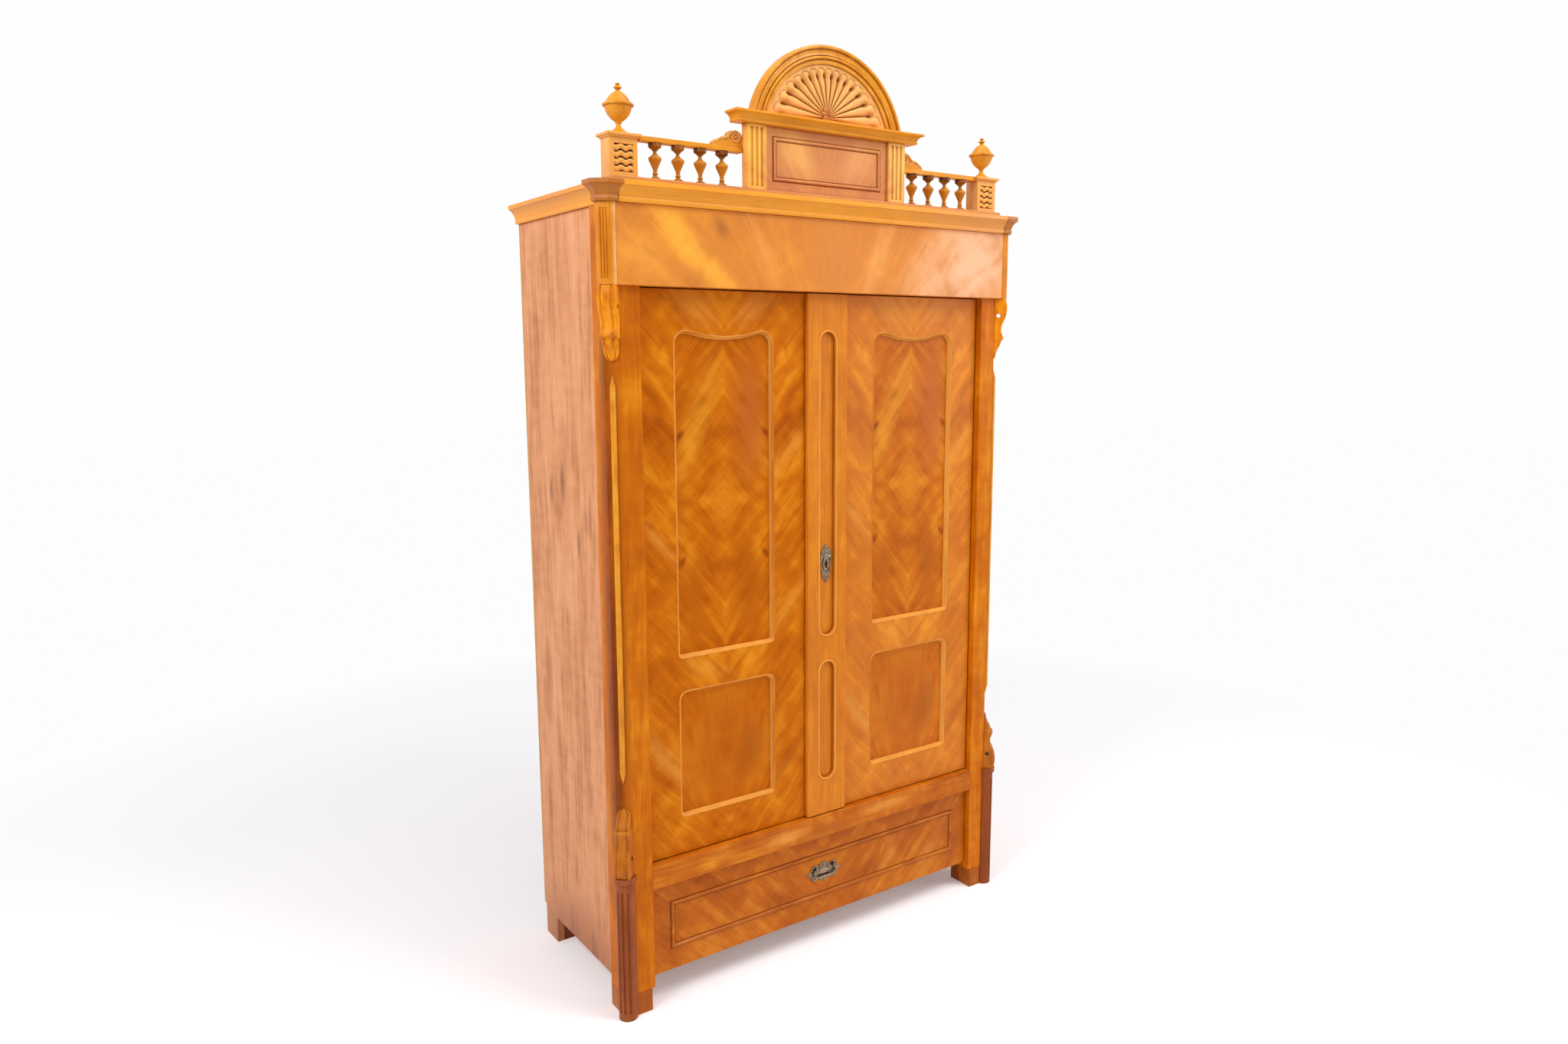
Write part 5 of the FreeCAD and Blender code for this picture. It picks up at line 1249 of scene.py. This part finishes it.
class WARDROBE_OT_drawer_pull(bpy.types.Operator):
    """Cast the lobed plate of the drawer pull with its scrolls and lugs, and bend its bail"""
    bl_idname = "wardrobe.drawer_pull"
    bl_label = "Drawer pull"

    def execute(self, context):
        low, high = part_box("drawer_pull_plate")
        bail_low, bail_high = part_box("drawer_bail")
        back = high.y
        middle_z = (low.z + high.z) / 2
        quarter = [(x * MM, z * MM) for x, z in smooth_line(PLATE_QUARTER, 4)]
        half = quarter + [(x, -z) for x, z in reversed(quarter)]
        outline = []
        for x, z in half + [(-x, z) for x, z in reversed(half)]:
            if not outline or math.dist(outline[-1], (x, z + middle_z)) > 0.3 * MM:
                outline.append((x, z + middle_z))
        face = back - PULL_THICK
        plate = close_edit(sawn("pull_plate", outline, face, back))
        soften(plate, 0.9 * MM, 3)
        parts = [plate, drop_of("pull_boss", (0, middle_z), (21, 9), 3.4, face)]
        for side in (1, -1):
            for x, z, radius in PULL_RINGS:
                parts.append(ring_of(f"pull_ring_{side}_{z}", side * x * MM, middle_z + z * MM, radius,
                                     RING_THICK, face))
            parts.append(drop_of(f"pull_tip_{side}", (side * 46 * MM, middle_z), (6, 3), 2.4, face))
            parts.append(drop_of(f"pull_leaf_{side}", (0, middle_z + side * 21 * MM), (3.4, 6), 2.8, face))
            parts.append(self.lug(side * LUG_X, bail_high.z - 1.9 * MM, back))
        plate = joined(parts, "pull_casting")
        add_to_body(plate, "drawer", "antique_brass", "antique brass", "drawer_pull_plate")
        self.bail(bail_low, bail_high)
        return {"FINISHED"}

    @staticmethod
    def lug(x, z, back):
        """The eared post that carries one pin of the bail."""
        middle, size = Vector((x, back - 6.5 * MM, z)), Vector((6, 13, 11)) * MM
        lug = begin("pull_lug", bpy.ops.mesh.primitive_cube_add, lambda *co: middle + Vector(co) * size,
                    size=1.0)
        open_edit(lug)
        close_edit(lug)
        soften(lug, 2.2 * MM, 4)
        return lug

    @staticmethod
    def bail(low, high):
        """The bail: a rod swept along its path, thicker in its grip, with a collar at each end."""
        y, top = (low.y + high.y) / 2, high.z - 0.6 * MM
        leg, foot = high.x - BAIL_INSET, low.z + BAIL_INSET
        right = [(BAIL_GRIP * MM, foot), *((leg - x * MM, foot + z * MM) for x, z in BAIL_BEND), (leg, top)]
        line = []
        for x, z in smooth_line([(-x, z) for x, z in reversed(right)] + [(0, foot)] + right, 5):
            share = abs(x) / leg
            swell = 0.4 * (1 - step_between(GRIP_END, 2 * GRIP_END, share))
            line.append(((x, y, z), GRIP_THICK if share < GRIP_END else LEG_THICK + swell))
        bail = rod("pull_bail", line)
        ends = []
        for side in (1, -1):
            centre = Vector((side * leg, y, high.z - BAIL_INSET))

            def place(out, along, side=side, centre=centre):
                return centre + Vector((-side * along * MM, 0, out * MM))
            ends.append(close_edit(spun(f"bail_pin_{side}", BAIL_PIN, centre, (1, 0, 0), place, 16), 50))
        bail = joined([bail, *ends], "pull_bail")
        add_to_body(bail, "bail", "antique_brass", "antique brass", "drawer_bail")


class WARDROBE_OT_key_plate(bpy.types.Operator):
    """Cast the key plate with its shield, bosses and keyhole"""
    bl_idname = "wardrobe.key_plate"
    bl_label = "Key plate"

    def execute(self, context):
        low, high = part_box("escutcheon")
        back, middle_z = high.y, (low.z + high.z) / 2
        half = [(x * MM, middle_z + z * MM) for x, z in smooth_line((*KEY_HALF, (0, 53)), 3)]
        outline = half + [(-x, z) for x, z in reversed(half[1:-1])]
        face = back - KEY_THICK
        plate = close_edit(sawn("key_plate_ground", outline, face, back))
        soften(plate, 0.7 * MM)
        half = [(x * MM, middle_z + z * MM) for x, z in smooth_line(SHIELD_HALF, 3)]
        outline = half + [(-x, z) for x, z in reversed(half[1:-1])]
        shield = close_edit(sawn("key_shield", outline, low.y, face + 0.3 * MM))
        soften(shield, 1.0 * MM, 3)
        parts = [plate, shield]
        for number, (x, z, wide, tall) in enumerate(KEY_BOSSES):
            for side in ((1, -1) if x else (1,)):
                parts.append(drop_of(f"key_boss_{number}_{side}", (side * x * MM, middle_z + z * MM),
                                     (wide, tall), 2.0, face))
        plate = joined(parts, "key_plate")
        turns = [math.radians(-150 + 25 * step) for step in range(13)]
        barrel = [(BARREL * math.sin(turn), BARREL * math.cos(turn)) for turn in turns]
        hole = [(x * MM, middle_z + z * MM)
                for x, z in [(-SLOT_HALF, -SLOT_DROP), *barrel, (SLOT_HALF, -SLOT_DROP)]]
        cutter = close_edit(sawn("keyhole_cutter", hole, low.y - 5 * MM, back + 5 * MM))
        apply_modifier(plate, "BOOLEAN", operation="DIFFERENCE", object=cutter, solver="EXACT", use_self=True)
        bpy.data.objects.remove(cutter)
        add_to_body(plate, "right_door", "antique_brass", "antique brass", "escutcheon")
        return {"FINISHED"}


# Studio

SHADOW_LIFT = 0.17


def floor_paper(name):
    """Seamless white paper: matt near the wardrobe, where it holds the shadow, and plain white far out."""
    material, tree, shader = new_material(name)
    ground = tuple(colours().ground)
    feed(shader, {"Base Color": ground, "Roughness": 0.9, "Specular IOR Level": 0.0})
    place = add_node(tree, "ShaderNodeTexCoord").outputs["Object"]
    near = add_node(tree, "ShaderNodeMapping", {"Vector": place, "Scale": (0.3, 0.3, 0.3)})
    ball = add_node(tree, "ShaderNodeTexGradient", {"Vector": near.outputs[0]}, gradient_type="SPHERICAL")
    far = add_node(tree, "ShaderNodeMapRange", {
        "Value": ball.outputs["Fac"], "From Min": 0.05, "From Max": 0.4, "To Min": 1.0, "To Max": 0.0})
    seen = seen_directly(tree)
    plain = add_node(tree, "ShaderNodeEmission", {"Color": ground, "Strength": 1.0})
    glow = add_node(tree, "ShaderNodeMath", {0: seen, 1: SHADOW_LIFT}, operation="MULTIPLY")
    lift = add_node(tree, "ShaderNodeEmission", {"Color": srgb("#F2F4FF"), "Strength": glow.outputs[0]})
    lit = add_node(tree, "ShaderNodeAddShader", {0: shader.outputs[0], 1: lift.outputs[0]})
    share = add_node(tree, "ShaderNodeMath", {0: far.outputs[0], 1: seen}, operation="MULTIPLY")
    whole = add_node(tree, "ShaderNodeMixShader", {
        0: share.outputs[0], 1: lit.outputs[0], 2: plain.outputs[0]})
    feed(tree.get_output_node("ALL"), {"Surface": whole.outputs[0]})
    return material


def seen_directly(tree):
    """One for what the camera, a gloss or a clear piece shows, and nought for light on the object."""
    path = add_node(tree, "ShaderNodeLightPath")
    seen = add_node(tree, "ShaderNodeMath", {
        0: path.outputs["Is Camera Ray"], 1: path.outputs["Is Glossy Ray"]}, operation="MAXIMUM")
    return add_node(tree, "ShaderNodeMath", {0: seen.outputs[0], 1: path.outputs["Is Transmission Ray"]},
                    operation="MAXIMUM").outputs[0]


def lamp(name, place, aim, size, power):
    """A soft square lamp that looks at a point."""
    data = bpy.data.lights.new(name, "AREA")
    data.shape, data.size, data.energy = "SQUARE", size, power
    item = bpy.data.objects.new(name, data)
    bpy.context.scene.collection.objects.link(item)
    item.location = place
    item.rotation_euler = (Vector(aim) - Vector(place)).to_track_quat("-Z", "Y").to_euler()


FLOOR_SIZE = 40.0
# Each lamp's place, aim, size in metres and power in watts
LAMPS = (("front_lamp", (1.5, -2.6, 4.7), (0.1, 0.0, 1.8), 1.8, 82),
         ("window_lamp", (4.2, -3.4, 2.3), (0.4, -0.2, 1.6), 2.2, 56),
         ("left_lamp", (-3.8, -0.9, 3.8), (-0.3, 0.0, 1.7), 2.4, 118),
         ("top_lamp", (0.4, -0.8, 4.8), (0.0, 0.0, 1.6), 2.0, 30))
# The camera as it was solved from the photo: yaw, pitch and roll in degrees, place, lens and sensor
CAMERA_TURN, CAMERA_PLACE, LENS, SENSOR = (35.04, -8.82, -0.17), (-1.7513, -2.5337, 1.6549), 25.05, 36.0
ROOM_LIGHT = 0.45


class WARDROBE_OT_stage(bpy.types.Operator):
    """Set the floor, the lamps, the white surroundings and the camera"""
    bl_idname = "wardrobe.stage"
    bl_label = "Studio"

    def execute(self, context):
        scene = context.scene
        floor = begin("studio_floor", bpy.ops.mesh.primitive_plane_add, size=FLOOR_SIZE)
        floor.data.materials.append(floor_paper("floor paper"))
        for light in LAMPS:
            lamp(*light)
        world = bpy.data.worlds.new("white surroundings")
        scene.world = world
        world.use_nodes = True
        tree = world.node_tree
        tree.nodes.clear()
        seen = seen_directly(tree)
        light = add_node(tree, "ShaderNodeBackground", {"Color": srgb("#FCFBFF"), "Strength": ROOM_LIGHT})
        white = add_node(tree, "ShaderNodeBackground", {"Color": srgb("#FEFEFE"), "Strength": 1.0})
        mixed = add_node(tree, "ShaderNodeMixShader", {0: seen, 1: light.outputs[0], 2: white.outputs[0]})
        add_node(tree, "ShaderNodeOutputWorld", {"Surface": mixed.outputs[0]})
        scene.view_settings.view_transform = "Standard"
        data = bpy.data.cameras.new("photograph_view")
        data.lens, data.sensor_width, data.clip_end = LENS, SENSOR, 60.0
        camera = bpy.data.objects.new("photograph_view", data)
        scene.collection.objects.link(camera)
        yaw, pitch, roll = (math.radians(angle) for angle in CAMERA_TURN)
        turn = (Matrix.Rotation(-yaw, 4, "Z") @ Matrix.Rotation(math.pi / 2 + pitch, 4, "X")
                @ Matrix.Rotation(roll, 4, "Z"))
        camera.matrix_world = Matrix.Translation(CAMERA_PLACE) @ turn
        scene.camera = camera
        return {"FINISHED"}


OPERATORS = (WARDROBE_OT_case, WARDROBE_OT_leaves, WARDROBE_OT_slot_beads, WARDROBE_OT_shadow_beads,
             WARDROBE_OT_ironwork, WARDROBE_OT_balusters, WARDROBE_OT_finials, WARDROBE_OT_shell,
             WARDROBE_OT_arch, WARDROBE_OT_gallery_posts, WARDROBE_OT_volutes, WARDROBE_OT_brackets,
             WARDROBE_OT_drawer_pull, WARDROBE_OT_key_plate, WARDROBE_OT_stage)


class WARDROBE_PT_panel(bpy.types.Panel):
    """Lists the steps that build the wardrobe's looks"""
    bl_label = "Wardrobe"
    bl_idname = "WARDROBE_PT_panel"
    bl_space_type = "VIEW_3D"
    bl_region_type = "UI"
    bl_category = "Wardrobe"

    def draw(self, context):
        for group in (sizes(), colours()):
            for name in group.__annotations__:
                self.layout.prop(group, name)
        for step in OPERATORS:
            self.layout.operator(step.bl_idname)


CLASSES = (WardrobeSizes, WardrobeColours, *OPERATORS, WARDROBE_PT_panel)


def register():
    for kind in CLASSES:
        bpy.utils.register_class(kind)
    bpy.types.Scene.wardrobe_sizes = bpy.props.PointerProperty(type=WardrobeSizes)
    bpy.types.Scene.wardrobe_colours = bpy.props.PointerProperty(type=WardrobeColours)


def unregister():
    del bpy.types.Scene.wardrobe_colours
    del bpy.types.Scene.wardrobe_sizes
    for kind in reversed(CLASSES):
        bpy.utils.unregister_class(kind)


def main():
    """Run every step in order."""
    register()
    for step in OPERATORS:
        group, name = step.bl_idname.split(".")
        getattr(getattr(bpy.ops, group), name)()


if __name__ == "__main__":
    main()
